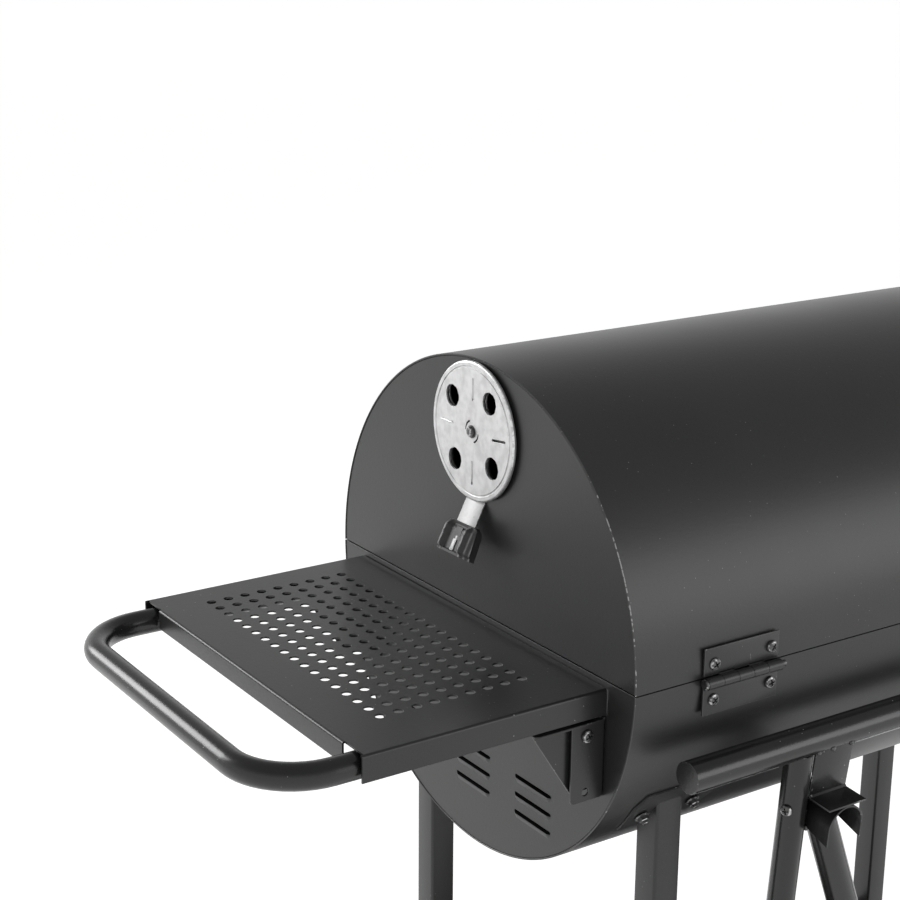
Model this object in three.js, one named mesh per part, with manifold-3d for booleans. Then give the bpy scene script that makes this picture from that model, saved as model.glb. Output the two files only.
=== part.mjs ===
// Offset smoker: a horizontal steel barrel with a hinged lid on four square legs,
// a perforated side table with a tube handle at one end, a smaller firebox barrel
// at the other end, and a tubular lid rest behind. Millimetres, +Z up.
// The parts are laid out with X = 0 at the table-side end of the barrel, the barrel
// running towards -X, the hinges at +Y and the ground at Z = 0. The last lines move
// the whole group so that its origin is the middle of its footprint on the ground.
import * as THREE from "three";
import { mergeVertices } from "three/addons/utils/BufferGeometryUtils.js";
import Module from "manifold-3d";

const wasm = await Module();
wasm.setup();

const degrees = THREE.MathUtils.degToRad;

// Driving dimensions
const barrelRadius = 205;
const barrelLength = 720;
const axisHeight = 790;
const sheet = 1.5;
const gap = 0.3;
const seamDrop = 2;
const halfSteps = 32;

const hingeAxisY = barrelRadius + 5;
const hingeAxisZ = axisHeight - 4.7;
const hingeWidth = 73;
const hingeCentres = [-98.4, -barrelLength + 98.4];
const leafHeight = 22;
const leafThickness = 1.8;
const knuckleRadius = 4.5;
const pinRadius = 2.4;

const damperZ = axisHeight + 147;
const damperRadius = 56;
const damperHoleRadius = 9;
const damperHolePitch = 36;

const tableDepth = 208;
const tableHalfWidth = 173;
const tableTopZ = axisHeight - 7;
const tableSkirt = 26;
const tableHoleColumns = 9;
const tableHoleRows = 18;
const tableHoleRadius = 3.6;
const handleReach = 274;
const handleRadius = 10;
const handleHalfSpan = 159;
const handleZ = axisHeight - 19.8;
const handleBend = 51;

const legSize = 25;
const legOuterY = 170;
const legCentres = { table_side: -67.5, firebox_side: -barrelLength + 67.5 };
const sides = { front: -1, rear: 1 };
const axleHeight = 80;
const axleRadius = 6;
const wheelRadius = 80;
const wheelWidth = 34;
const shelfZ = 235;
const lowerRailY = 158;

const railRadius = 12.5;
const railY = 219.4;
const railZ = axisHeight - 69.7;
const railInset = 39;
const strutLean = degrees(4.3);
const strutRadius = 11;
const strutCentres = [-152, -barrelLength + 96];
const braceRadius = 12.5;
const braceLean = degrees(23.4);

const fireboxRadius = 150;
const fireboxLength = 300;
const fireboxStart = -barrelLength - 0.5;
const fireboxZ = axisHeight - 125;
const inletZ = fireboxZ - 50;
const inletRadius = 38;
const drawerHalfWidth = 50;
const drawerFloorZ = fireboxZ - 129;
const drawerHeight = 27;

// Finishes
const finish = (color, roughness, metalness) => ({ color, roughness, metalness });
const blackPaint = finish(0x2c2c2d, 0.45, 0.1);
const zinc = finish(0xc4c6c6, 0.35, 0.9);
const darkZinc = finish(0x77777a, 0.4, 0.9);
const blackPlastic = finish(0x18181a, 0.55, 0);
const wireSteel = finish(0x8a8a88, 0.35, 0.9);

const span = (a, b) => [Math.min(a, b), Math.max(a, b)];
const smoker = new THREE.Group();

// Adds one named mesh with its own material.
function add(name, geometry, look, place = null) {
  const shape = place ? geometry.clone().applyMatrix4(place) : geometry;
  const mesh = new THREE.Mesh(shape, new THREE.MeshStandardMaterial(look));
  mesh.name = name;
  smoker.add(mesh);
  return mesh;
}

// Booleans on closed geometries
function solidOf(geometry) {
  const bare = geometry.clone();
  bare.deleteAttribute("normal");
  bare.deleteAttribute("uv");
  const merged = mergeVertices(bare, 1e-3);
  return new wasm.Manifold(
    new wasm.Mesh({
      numProp: 3,
      vertProperties: new Float32Array(merged.attributes.position.array),
      triVerts: new Uint32Array(merged.index.array),
    }),
  );
}

function geometryOf(solid) {
  const mesh = solid.getMesh();
  const geometry = new THREE.BufferGeometry();
  geometry.setAttribute("position", new THREE.BufferAttribute(mesh.vertProperties, 3));
  geometry.setIndex(new THREE.BufferAttribute(mesh.triVerts, 1));
  geometry.computeVertexNormals();
  return geometry;
}

function cut(body, ...tools) {
  return geometryOf(tools.reduce((left, tool) => left.subtract(solidOf(tool)), solidOf(body)));
}

function join(...pieces) {
  return geometryOf(pieces.map(solidOf).reduce((whole, piece) => whole.add(piece)));
}

// Basic shapes, each given by where it lies
function box(x0, x1, y0, y1, z0, z1) {
  const geometry = new THREE.BoxGeometry(x1 - x0, y1 - y0, z1 - z0);
  return geometry.translate((x0 + x1) / 2, (y0 + y1) / 2, (z0 + z1) / 2);
}

function rodX(x0, x1, y, z, radius, segments = 16) {
  const rod = new THREE.CylinderGeometry(radius, radius, x1 - x0, segments);
  return rod.rotateZ(Math.PI / 2).translate((x0 + x1) / 2, y, z);
}

function rodY(y0, y1, x, z, radius, segments = 16) {
  const rod = new THREE.CylinderGeometry(radius, radius, y1 - y0, segments);
  return rod.translate(x, (y0 + y1) / 2, z);
}

function rodZ(z0, z1, x, y, radius, segments = 16) {
  const rod = new THREE.CylinderGeometry(radius, radius, z1 - z0, segments);
  return rod.rotateX(Math.PI / 2).translate(x, y, (z0 + z1) / 2);
}

// Outline points of an arc about the origin, angles from +Y towards +Z.
function arc(radius, from, to, steps) {
  const points = [];
  for (let i = 0; i <= steps; i++) {
    const angle = from + ((to - from) * i) / steps;
    points.push(new THREE.Vector2(radius * Math.cos(angle), radius * Math.sin(angle)));
  }
  return points;
}

// Outline in the YZ plane, extruded from x0 to x1 and centred on the height z.
function alongX(points, x0, x1, z = 0) {
  const shape = points instanceof THREE.Shape ? points : new THREE.Shape(points);
  const geometry = new THREE.ExtrudeGeometry(shape, { depth: x1 - x0, bevelEnabled: false });
  const turn = new THREE.Matrix4().makeBasis(
    new THREE.Vector3(0, 1, 0),
    new THREE.Vector3(0, 0, 1),
    new THREE.Vector3(1, 0, 0),
  );
  return geometry.applyMatrix4(turn).translate(x0, 0, z);
}

// Outline in the XZ plane, extruded from y0 to y1.
function alongY(points, y0, y1) {
  const shape = new THREE.Shape(points.map(([x, z]) => new THREE.Vector2(x, -z)));
  const geometry = new THREE.ExtrudeGeometry(shape, { depth: y1 - y0, bevelEnabled: false });
  return geometry.rotateX(-Math.PI / 2).translate(0, y0, 0);
}

// Tube with open ends along a list of straight points with rounded corners.
function bentTube(points, radius, wall, bend, sides = 10) {
  const path = new THREE.CurvePath();
  let last = points[0];
  for (let i = 1; i < points.length - 1; i++) {
    const inward = points[i - 1].clone().sub(points[i]).setLength(bend);
    const outward = points[i + 1].clone().sub(points[i]).setLength(bend);
    const start = points[i].clone().add(inward);
    const end = points[i].clone().add(outward);
    path.add(new THREE.LineCurve3(last, start));
    path.add(new THREE.QuadraticBezierCurve3(start, points[i], end));
    last = end;
  }
  path.add(new THREE.LineCurve3(last, points.at(-1)));
  const stations = path.curves.flatMap((curve, i) => {
    const steps = i % 2 === 1 ? 5 : 1;
    return Array.from({ length: steps }, (_, k) => curve.getPoint(k / steps));
  });
  stations.push(points.at(-1));
  return sweepRing(stations, radius, wall, sides);
}

// A ring section swept through stations that lie in one plane, open at both ends.
function sweepRing(stations, radius, wall, sides) {
  const across = stations[1].clone().sub(stations[0]);
  const spread = stations.at(-1).clone().sub(stations[0]);
  const planeNormal = across.cross(spread).normalize();
  const position = [];
  const rings = [radius, radius - wall];
  for (let s = 0; s < stations.length; s++) {
    const before = stations[Math.max(s - 1, 0)];
    const after = stations[Math.min(s + 1, stations.length - 1)];
    const forward = after.clone().sub(before).normalize();
    const side = new THREE.Vector3().crossVectors(planeNormal, forward);
    for (const r of rings) {
      for (let k = 0; k < sides; k++) {
        const angle = (2 * Math.PI * k) / sides;
        const point = stations[s].clone();
        point.addScaledVector(side, r * Math.cos(angle));
        point.addScaledVector(planeNormal, r * Math.sin(angle));
        position.push(point.x, point.y, point.z);
      }
    }
  }
  const index = [];
  const at = (s, ring, k) => (s * 2 + ring) * sides + (k % sides);
  const quad = (a, b, c, d) => index.push(a, b, c, a, c, d);
  const lastStation = stations.length - 1;
  for (let k = 0; k < sides; k++) {
    for (let s = 0; s < lastStation; s++) {
      quad(at(s, 0, k), at(s + 1, 0, k), at(s + 1, 0, k + 1), at(s, 0, k + 1));
      quad(at(s, 1, k), at(s, 1, k + 1), at(s + 1, 1, k + 1), at(s + 1, 1, k));
    }
    quad(at(0, 0, k), at(0, 0, k + 1), at(0, 1, k + 1), at(0, 1, k));
    quad(at(lastStation, 0, k), at(lastStation, 1, k), at(lastStation, 1, k + 1),
      at(lastStation, 0, k + 1));
  }
  const geometry = new THREE.BufferGeometry();
  geometry.setAttribute("position", new THREE.Float32BufferAttribute(position, 3));
  geometry.setIndex(index);
  const solid = solidOf(geometry);
  return solid.volume() > 0 ? geometryOf(solid) : geometryOf(solidOf(flipped(geometry)));
}

function flipped(geometry) {
  const turned = geometry.clone();
  const index = turned.index.array;
  for (let i = 0; i < index.length; i += 3) {
    [index[i + 1], index[i + 2]] = [index[i + 2], index[i + 1]];
  }
  return turned;
}

// Straight open tube between two heights, standing along Z, centred on x and y.
function squareTube(x, y, z0, z1, size, wall) {
  const outer = box(x - size / 2, x + size / 2, y - size / 2, y + size / 2, z0, z1);
  const half = size / 2 - wall;
  return cut(outer, box(x - half, x + half, y - half, y + half, z0 - 1, z1 + 1));
}

// A curved shell of sheet steel: a band of the barrel between two angles.
function shell(radius, from, to, x0, x1, z, steps = halfSteps) {
  const outer = arc(radius, from, to, steps);
  const inner = arc(radius - sheet, to, from, steps);
  return alongX([...outer, ...inner], x0, x1, z);
}

// Upper and lower halves meet just under the axis with a fine seam between them.
function halves(radius) {
  const seam = Math.asin(seamDrop / radius);
  const slit = 0.5 / radius;
  return {
    upper: [-seam + slit, Math.PI + seam - slit],
    lower: [Math.PI + seam + slit, 2 * Math.PI - seam - slit],
  };
}

// A half disc that closes one end of a shell.
function endCap(radius, [from, to], x0, z, steps = halfSteps) {
  return alongX(arc(radius - sheet - gap, from, to, steps), x0, x0 + sheet, z);
}

// Round holes on a circle, as tools for cutting an end cap.
function holeCircle(x0, x1, z, pitch, radius, count, offset, segments = 12) {
  return Array.from({ length: count }, (_, i) => {
    const angle = offset + (2 * Math.PI * i) / count;
    return rodX(x0, x1, pitch * Math.cos(angle), z + pitch * Math.sin(angle), radius, segments);
  });
}

// ---- Barrel: trough, lid and their end caps
const main = halves(barrelRadius);
const capInset = 0.6;
const tableCapX = -capInset - sheet;
const fireboxCapX = -barrelLength + capInset;
const stemAngle = degrees(137);
const stemX = -barrelLength / 2;

const ledgeDrop = 20;
const ledgeWidth = 22;
const ledgeThickness = 2;
const ledgeEndClear = 14;
const ledgeZ = axisHeight - ledgeDrop;
const ledges = Object.values(sides).map((side) => {
  const wallY = barrelRadius - sheet / 2;
  const outerY = Math.sqrt(wallY ** 2 - ledgeDrop ** 2) * side;
  const innerY = (wallY - ledgeWidth) * side;
  return box(-barrelLength + ledgeEndClear, -ledgeEndClear, ...span(innerY, outerY),
    ledgeZ - ledgeThickness, ledgeZ);
});
const troughShell = shell(barrelRadius, ...main.lower, -barrelLength, 0, axisHeight);
add("barrel_trough", join(troughShell, ...ledges), blackPaint);

const louvers = [];
const louverPitchY = 83;
const louverHalfLength = 24;
const louverHalfHeight = 2;
const louverDrops = [124, 139.5, 155];
for (const column of [-1, 0, 1]) {
  for (const drop of louverDrops) {
    const y = column * louverPitchY;
    const z = axisHeight - drop;
    louvers.push(box(-5, 5, y - louverHalfLength, y + louverHalfLength,
      z - louverHalfHeight, z + louverHalfHeight));
  }
}
add("trough_end_table_side",
  cut(endCap(barrelRadius, main.lower, tableCapX, axisHeight), ...louvers), blackPaint);

const throatOutline = [[-100, -135], [-55, -188], [55, -188], [100, -135]];
const throatPoints = throatOutline.map(([y, z]) => new THREE.Vector2(y, z));
const throat = alongX(throatPoints, fireboxStart - 20, fireboxStart + 20, axisHeight);
add("trough_end_firebox_side",
  cut(endCap(barrelRadius, main.lower, fireboxCapX, axisHeight), throat), blackPaint);

const stemHole = rodX(-6, 6, 0, 0, 5, 12).rotateY(Math.PI / 2).rotateX(stemAngle - Math.PI / 2);
stemHole.translate(stemX, barrelRadius * Math.cos(stemAngle),
  axisHeight + barrelRadius * Math.sin(stemAngle));
add("lid_shell",
  cut(shell(barrelRadius, ...main.upper, -barrelLength, 0, axisHeight), stemHole), blackPaint);

const ventTurn = degrees(45 + 4.7);
const ventHoles = holeCircle(-5, 5, damperZ, damperHolePitch, damperHoleRadius, 4, ventTurn);
add("lid_end_table_side",
  cut(endCap(barrelRadius, main.upper, tableCapX, axisHeight), ...ventHoles), blackPaint);
add("lid_end_firebox_side", endCap(barrelRadius, main.upper, fireboxCapX, axisHeight),
  blackPaint);

// ---- Lid damper: cover disc, rotating shutter with its lever, and the grip
const damperHoles = (offset) =>
  holeCircle(-5, 8, damperZ, damperHolePitch, damperHoleRadius, 4, offset);
const pivotRadius = 3;
const pivotHole = rodX(-5, 8, 0, damperZ, pivotRadius + gap, 12);
const shutterX = -capInset + 0.5;
const shutterThickness = 1.2;
const coverX = shutterX + shutterThickness + 0.4;
const coverThickness = 1.4;
const leverHalfWidth = 12.5;
const leverSlope = degrees(27.8);
const leverLength = 42;
const leverTop = damperZ - damperRadius + 6;
const leverKnee = damperZ - damperRadius - 1;
const leverTurn = degrees(4.7);

add("damper_cover",
  cut(rodX(coverX, coverX + coverThickness, 0, damperZ, damperRadius, 32),
    ...damperHoles(ventTurn), pivotHole), zinc);

// Points given by how far they lie down the lever's slope and out from its back face.
const onLever = ([along, out]) => [
  shutterX + along * Math.sin(leverSlope) + out * Math.cos(leverSlope),
  leverKnee - along * Math.cos(leverSlope) + out * Math.sin(leverSlope)];
const leverProfile = [
  [shutterX, leverTop], [shutterX, leverKnee], onLever([leverLength, 0]),
  onLever([leverLength, shutterThickness]), [shutterX + shutterThickness, leverKnee],
  [shutterX + shutterThickness, leverTop],
];
const aboutPivot = (geometry) =>
  geometry.translate(0, 0, -damperZ).rotateX(leverTurn).translate(0, 0, damperZ);
const shutterDisc = cut(
  rodX(shutterX, shutterX + shutterThickness, 0, damperZ, damperRadius - 4, 32),
  ...damperHoles(ventTurn), pivotHole);
const lever = aboutPivot(alongY(leverProfile, -leverHalfWidth, leverHalfWidth));
add("damper_shutter", join(shutterDisc, lever), zinc);

const gripHalfWidth = 24;
const gripStart = 20;
const gripEnd = 46;
const gripOut = 7;
const gripBack = -4.5;
const gripOutline = [
  [gripStart, -3], [gripStart, gripOut - 2], [gripStart + 2, gripOut], [gripEnd - 2, gripOut],
  [gripEnd, gripOut - 2], [gripEnd, -2], [gripEnd - 2, gripBack], [gripStart + 2, gripBack],
].map(onLever);
const strapRoom = alongY(leverProfile, -leverHalfWidth - gap, leverHalfWidth + gap);
const strapSlots = [[0.6, 0], [-0.6, 0], [0, -0.6]].map(([dx, dz]) =>
  strapRoom.clone().translate(dx, 0, dz));
const grip = cut(alongY(gripOutline, -gripHalfWidth, gripHalfWidth), ...strapSlots);
add("damper_grip", aboutPivot(grip), blackPlastic);

// The damper's pivot bolt stands on the cap and holds the cover by its head.
const pivotProfile = [[0, -capInset + 0.3], [pivotRadius, -capInset + 0.3],
  [pivotRadius, coverX + coverThickness + gap], [6.5, coverX + coverThickness + gap],
  [5.5, coverX + coverThickness + 3.2], [0, coverX + coverThickness + 4]];
const pivotBolt = new THREE.LatheGeometry(pivotProfile.map(([r, x]) => new THREE.Vector2(r, x)),
  12);
add("damper_pivot", pivotBolt.rotateZ(-Math.PI / 2).translate(0, 0, damperZ), darkZinc);

// ---- Lid handle and thermometer on the front of the lid
function lidHandle(name, centreX, span, radius, z, reach, angle, tube) {
  const out = new THREE.Vector3(0, Math.cos(angle), Math.sin(angle));
  const foot = new THREE.Vector3(0, radius * out.y, z + radius * out.z);
  const near = foot.clone().addScaledVector(out, 0.8);
  const far = foot.clone().addScaledVector(out, reach);
  const points = [near, far, far, near].map((point, i) => {
    const placed = point.clone();
    placed.x = centreX + (i < 2 ? -span / 2 : span / 2);
    return placed;
  });
  add(name, bentTube(points, tube, 1.2, 22, 8), blackPaint);
}
const lidHandleAngle = degrees(157);
lidHandle("lid_handle", -barrelLength / 2, 320, barrelRadius, axisHeight, 48, lidHandleAngle, 8);

// Turns a piece made along +X at the origin so that +X points out of the lid.
const outOfLid = new THREE.Matrix4()
  .makeTranslation(stemX, barrelRadius * Math.cos(stemAngle),
    axisHeight + barrelRadius * Math.sin(stemAngle))
  .multiply(new THREE.Matrix4().makeRotationX(stemAngle - Math.PI / 2))
  .multiply(new THREE.Matrix4().makeRotationY(-Math.PI / 2));
const stemDepth = 28;
const caseProfile = [[0, -stemDepth], [2.5, -stemDepth], [2.5, -4], [4, -4], [4, 1.5], [26, 1.5], [27, 9],
  [25.4, 9], [24.6, 3], [0, 3]];
const caseLathe = new THREE.LatheGeometry(
  caseProfile.map(([r, x]) => new THREE.Vector2(r, x)), 20);
add("thermometer_case", caseLathe.rotateZ(-Math.PI / 2), zinc, outOfLid);
const needleOutline = [[-3, -7], [3, -7], [3, 0], [0.8, 20], [-0.8, 20], [-3, 0]];
const needlePoints = needleOutline.map(([y, z]) => new THREE.Vector2(y, z));
add("thermometer_needle", alongX(needlePoints, 4.4, 5.2), blackPlastic, outOfLid);

// ---- Butt hinges: two leaves with knuckles on a pin
// A hinge given a pin name has a loose pin; otherwise its pin is riveted in the lower leaf.
function hinge(centreX, width, axisY, axisZ, upperName, lowerName, pinName = null) {
  const knuckleWidth = width / 5;
  const start = centreX - width / 2;
  const bore = rodX(start - 5, start + width + 5, axisY, axisZ, pinRadius + gap, 10);
  const leaf = (direction, owned) => {
    const nearZ = axisZ + direction * (knuckleRadius + 0.4);
    const farZ = axisZ + direction * (knuckleRadius + leafHeight);
    const plateY = axisY - knuckleRadius + 0.1;
    const pieces = [
      box(start, start + width, plateY, plateY + leafThickness, ...span(nearZ, farZ)),
    ];
    for (const index of owned) {
      const x0 = start + index * knuckleWidth + gap / 2;
      const x1 = x0 + knuckleWidth - gap;
      const rootZ = axisZ + direction * 1;
      const edgeZ = nearZ + direction;
      pieces.push(rodX(x0, x1, axisY, axisZ, knuckleRadius, 12));
      pieces.push(box(x0, x1, plateY, plateY + leafThickness, ...span(rootZ, edgeZ)));
    }
    return cut(join(...pieces), bore);
  };
  const lowerLeaf = leaf(-1, [0, 2, 4]);
  add(upperName, leaf(1, [1, 3]), blackPaint);
  if (pinName) {
    add(lowerName, lowerLeaf, blackPaint);
    add(pinName, rodX(start - 5, start + width + 1, axisY, axisZ, pinRadius, 10), darkZinc);
  } else {
    const rivet = rodX(start + 1, start + width - 1, axisY, axisZ, pinRadius, 10);
    const collars = [0, 2, 4].map((index) => rodX(start + index * knuckleWidth + 2,
      start + (index + 1) * knuckleWidth - 2, axisY, axisZ, pinRadius + 2 * gap, 10));
    add(lowerName, join(lowerLeaf, rivet, ...collars), blackPaint);
  }
}
["table_side", "firebox_side"].forEach((side, i) => {
  hinge(hingeCentres[i], hingeWidth, hingeAxisY, hingeAxisZ, `lid_hinge_${side}_upper_leaf`,
    `lid_hinge_${side}_lower_leaf`, `lid_hinge_${side}_pin`);
});

// ---- Side table: folded perforated top, tube handle, brackets and gussets
const cornerNotch = 13;
const tableUnder = tableTopZ - sheet;
const skirtLow = tableTopZ - tableSkirt;
const tableSheets = [
  box(gap, tableDepth, -tableHalfWidth, tableHalfWidth, tableUnder, tableTopZ),
  box(gap, tableDepth, -tableHalfWidth, -tableHalfWidth + sheet, skirtLow, tableTopZ),
  box(gap, tableDepth, tableHalfWidth - sheet, tableHalfWidth, skirtLow, tableTopZ),
  box(tableDepth - sheet, tableDepth, -handleHalfSpan + cornerNotch,
    handleHalfSpan - cornerNotch, skirtLow, tableTopZ),
];
const holeStepX = 15.3;
const holeStepY = 15.5;
const holeStartX = 41.7;
const holeShiftY = -8;
const perforations = [];
for (let column = 0; column < tableHoleColumns; column++) {
  for (let row = 0; row < tableHoleRows; row++) {
    const x = holeStartX + column * holeStepX;
    const y = (row - (tableHoleRows - 1) / 2) * holeStepY + holeShiftY;
    perforations.push(rodZ(tableUnder - 1, tableTopZ + 1, x, y, tableHoleRadius, 4));
  }
}
const perforation = geometryOf(wasm.Manifold.union(perforations.map(solidOf)));

const gussetY = 166;
const gussetReach = 60;
const gussetLow = axisHeight - 87;
const gussets = Object.values(sides).map((side) => {
  const y = side * gussetY;
  const outline = [[gussetReach, tableUnder + 0.5], [gussetReach, tableUnder - 6],
    [27, gussetLow], [6, gussetLow], [6, tableUnder + 0.5]];
  return alongY(outline, y - sheet / 2, y + sheet / 2);
});
add("side_table", cut(join(...tableSheets, ...gussets), perforation), blackPaint);

const handleInnerX = 72;
const handlePoints = [[handleInnerX, -handleHalfSpan], [handleReach, -handleHalfSpan],
  [handleReach, handleHalfSpan], [handleInnerX, handleHalfSpan]];
add("table_handle",
  bentTube(handlePoints.map(([x, y]) => new THREE.Vector3(x, y, handleZ)),
    handleRadius, 1.2, handleBend, 10), blackPaint);

const bracketDepth = 30;
const bracketWidth = 26;
const bracketDrops = [30, 93.7];
const bracketBoltX = 16.4;
const bracketBoltDrops = [41, 86];
for (const [place, side] of Object.entries(sides)) {
  const outerY = side * (tableHalfWidth - sheet - gap);
  const innerY = outerY - side * bracketWidth;
  const [high, low] = bracketDrops.map((drop) => axisHeight - drop);
  const flange = (y) => box(0, bracketDepth, ...span(y, y - side * sheet), low, high);
  const webX = -capInset + gap;
  const web = box(webX, webX + sheet, ...span(innerY, outerY), low, high);
  const boltHoles = bracketBoltDrops.map((drop) =>
    rodY(-barrelRadius, barrelRadius, bracketBoltX, axisHeight - drop, 3.2, 10));
  add(`table_bracket_${place}`,
    cut(join(web, flange(outerY), flange(innerY + side * sheet)), ...boltHoles), blackPaint);
}

// ---- Legs with the plates that hold the barrel, feet, axle and wheels
const legY = legOuterY - legSize / 2;
const legTop = axisHeight - 100;
const plateArc = [29.3, 42].map(degrees);
const plateReach = [-43, 38];
const footHeight = 28;
const footWall = 2;
const footFloor = 3;
const seatCut = rodX(-barrelLength - 50, 50, 0, axisHeight, barrelRadius + gap, 2 * halfSteps);
for (const [end, x] of Object.entries(legCentres)) {
  const onWheels = end === "firebox_side";
  for (const [place, side] of Object.entries(sides)) {
    const low = onWheels ? axleHeight - 20 : footFloor + gap;
    const tube = squareTube(x, side * legY, low, legTop, legSize, sheet);
    const tools = [seatCut];
    if (onWheels) {
      tools.push(rodY(-barrelRadius, barrelRadius, x, axleHeight, axleRadius + gap, 12));
    }
    add(`leg_${place}_${end}`, cut(tube, ...tools), blackPaint);

    const level = side > 0 ? 0 : Math.PI;
    const [from, to] = span(...plateArc.map((angle) => level - side * angle));
    const outerArc = arc(barrelRadius + gap + sheet, from, to, 4);
    const innerArc = arc(barrelRadius + gap, to, from, 4);
    const plate = alongX([...outerArc, ...innerArc], x + plateReach[0], x + plateReach[1],
      axisHeight);
    const legRoom = box(x - legSize / 2 - gap, x + legSize / 2 + gap,
      ...span(side * (legY + 40), side * (legY - 40)), 0, axisHeight - 112);
    add(`leg_plate_${place}_${end}`, cut(plate, legRoom), blackPaint);

    if (!onWheels) {
      const outer = legSize / 2 + footWall;
      const inner = legSize / 2 + gap;
      const cup = cut(
        box(x - outer, x + outer, side * legY - outer, side * legY + outer, 0, footHeight),
        box(x - inner, x + inner, side * legY - inner, side * legY + inner, footFloor,
          footHeight + 10));
      add(`foot_${place}`, cup, blackPlastic);
    }
  }
}

const wheelX = legCentres.firebox_side;
const wheelInnerY = legOuterY + 6;
const wheelOuterY = wheelInnerY + wheelWidth;
const axleEnd = wheelOuterY + 5;
const axleProfile = [[0, -axleEnd - 5], [9, -axleEnd - 4], [10, -axleEnd], [axleRadius, -axleEnd],
  [axleRadius, axleEnd], [10, axleEnd], [9, axleEnd + 4], [0, axleEnd + 5]];
const axle = new THREE.LatheGeometry(axleProfile.map(([r, y]) => new THREE.Vector2(r, y)), 16);
add("axle", axle.translate(wheelX, 0, axleHeight), darkZinc);

const tread = wheelWidth / 2;
const wheelProfile = [[axleRadius + gap, -tread - 3], [14, -tread - 3], [16, -5], [56, -5],
  [60, -tread + 2], [wheelRadius - 6, -tread], [wheelRadius, -tread + 7],
  [wheelRadius, tread - 7], [wheelRadius - 6, tread], [60, tread - 2], [56, 5], [16, 5],
  [14, tread + 3], [axleRadius + gap, tread + 3], [axleRadius + gap, -tread - 3]];
for (const [place, side] of Object.entries(sides)) {
  const wheel = new THREE.LatheGeometry(wheelProfile.map(([r, y]) => new THREE.Vector2(r, y)), 22);
  const centreY = (side * (wheelInnerY + wheelOuterY)) / 2;
  add(`wheel_${place}`, wheel.translate(wheelX, centreY, axleHeight), blackPlastic);
}

// ---- Bottom shelf on two rails, with a cross rail at the table side
const shelfRail = 20;
const railFrom = legCentres.firebox_side + legSize / 2 + gap;
const railTo = legCentres.table_side - legSize / 2 - gap;
for (const [place, side] of Object.entries(sides)) {
  const y = side * lowerRailY;
  add(`lower_rail_${place}`,
    box(railFrom, railTo, y - shelfRail / 2, y + shelfRail / 2, shelfZ - shelfRail, shelfZ),
    blackPaint);
}
const crossReach = legY - legSize / 2 - gap;
const crossX = legCentres.table_side;
add("cross_rail",
  box(crossX - shelfRail / 2, crossX + shelfRail / 2, -crossReach, crossReach,
    shelfZ - shelfRail, shelfZ), blackPaint);
const shelfLip = 16;
const shelfFrom = railFrom + 2;
const shelfTo = railTo - 2;
const shelfHalf = 166;
add("bottom_shelf",
  cut(
    box(shelfFrom, shelfTo, -shelfHalf, shelfHalf, shelfZ + gap, shelfZ + shelfLip),
    box(shelfFrom + sheet, shelfTo - sheet, -shelfHalf + sheet, shelfHalf - sheet,
      shelfZ + gap + sheet, shelfZ + shelfLip + 5)), blackPaint);

// ---- Lid rest behind the barrel: a rail on two leaning struts with braces
const railStart = -barrelLength + railInset;
add("rear_rail", rodX(railStart, -railInset, railY, railZ, railRadius, 16), blackPaint);

const strutFoot = railZ - shelfZ + 22;
const leanFrame = new THREE.Matrix4().makeTranslation(0, railY, railZ)
  .multiply(new THREE.Matrix4().makeRotationX(-strutLean));
const railTool = rodX(-20, barrelLength, 0, 0, railRadius + gap, 16).translate(-barrelLength, 0, 0);
const hookBack = 5.5;
const hookReach = 31;
const hookShelfDrop = 50;
const hookOuter = 18;
strutCentres.forEach((centre, i) => {
  const end = Object.keys(legCentres)[i];
  const inward = i === 0 ? -1 : 1;
  const strut = cut(rodZ(-strutFoot, -4, centre, 0, strutRadius, 14), railTool);

  // Welded hook: a plate under the rail, a shelf bent out of it and an upside-down U below
  const plateNear = centre + inward * 8;
  const plateFar = centre + inward * 47;
  const [x0, x1] = span(plateNear, plateFar);
  const hookMiddle = centre + inward * 28;
  const upright = uprightHook(hookMiddle, hookBack - 0.5, hookReach, hookOuter);
  const plate = cut(box(x0, x1, hookBack, hookBack + sheet, -hookShelfDrop - 1, -9), railTool);
  const ledge = box(x0, x1, hookBack, hookReach, -hookShelfDrop - sheet, -hookShelfDrop);
  add(`rear_strut_${end}`, join(strut, plate, ledge, upright), blackPaint, leanFrame);

  // Brace from under the rail down to the middle of the lower rail
  const braceLength = strutFoot / Math.cos(braceLean);
  const brace = rodZ(-braceLength + 6, -14, 0, 0, braceRadius, 14);
  brace.rotateY(inward * -braceLean).translate(centre, 0, 0);
  const strutRoom = rodZ(-strutFoot - 40, 20, centre, 0, strutRadius + gap + 0.2, 14);
  const floorCut = box(-barrelLength, 0, -60, 60, -strutFoot - 60, -strutFoot);
  const hookRoom = box(x0 - 10, x1 + 10, 4.6, 40, -77.5, 10);
  const braceCut = cut(brace, railTool, strutRoom, floorCut, hookRoom);
  add(`rear_brace_${end}`, keepLargest(braceCut), blackPaint, leanFrame);
});

// The upside-down U of sheet: two flanks and a half-round crown, running along Y.
function uprightHook(middle, y0, y1, outer) {
  const crownZ = -hookShelfDrop - outer - 1;
  const low = crownZ - 8;
  const crown = (radius, from, to) =>
    arc(radius, from, to, 10).map((point) => [middle + point.x, crownZ + point.y]);
  const points = [[middle + outer, low], ...crown(outer, 0, Math.PI), [middle - outer, low],
    [middle - outer + sheet, low], ...crown(outer - sheet, Math.PI, 0),
    [middle + outer - sheet, low]];
  return alongY(points, y0, y1);
}

// Keeps the biggest piece when a cut leaves an offcut behind.
function keepLargest(geometry) {
  const parts = solidOf(geometry).decompose();
  parts.sort((a, b) => b.volume() - a.volume());
  return geometryOf(parts[0]);
}

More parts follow.
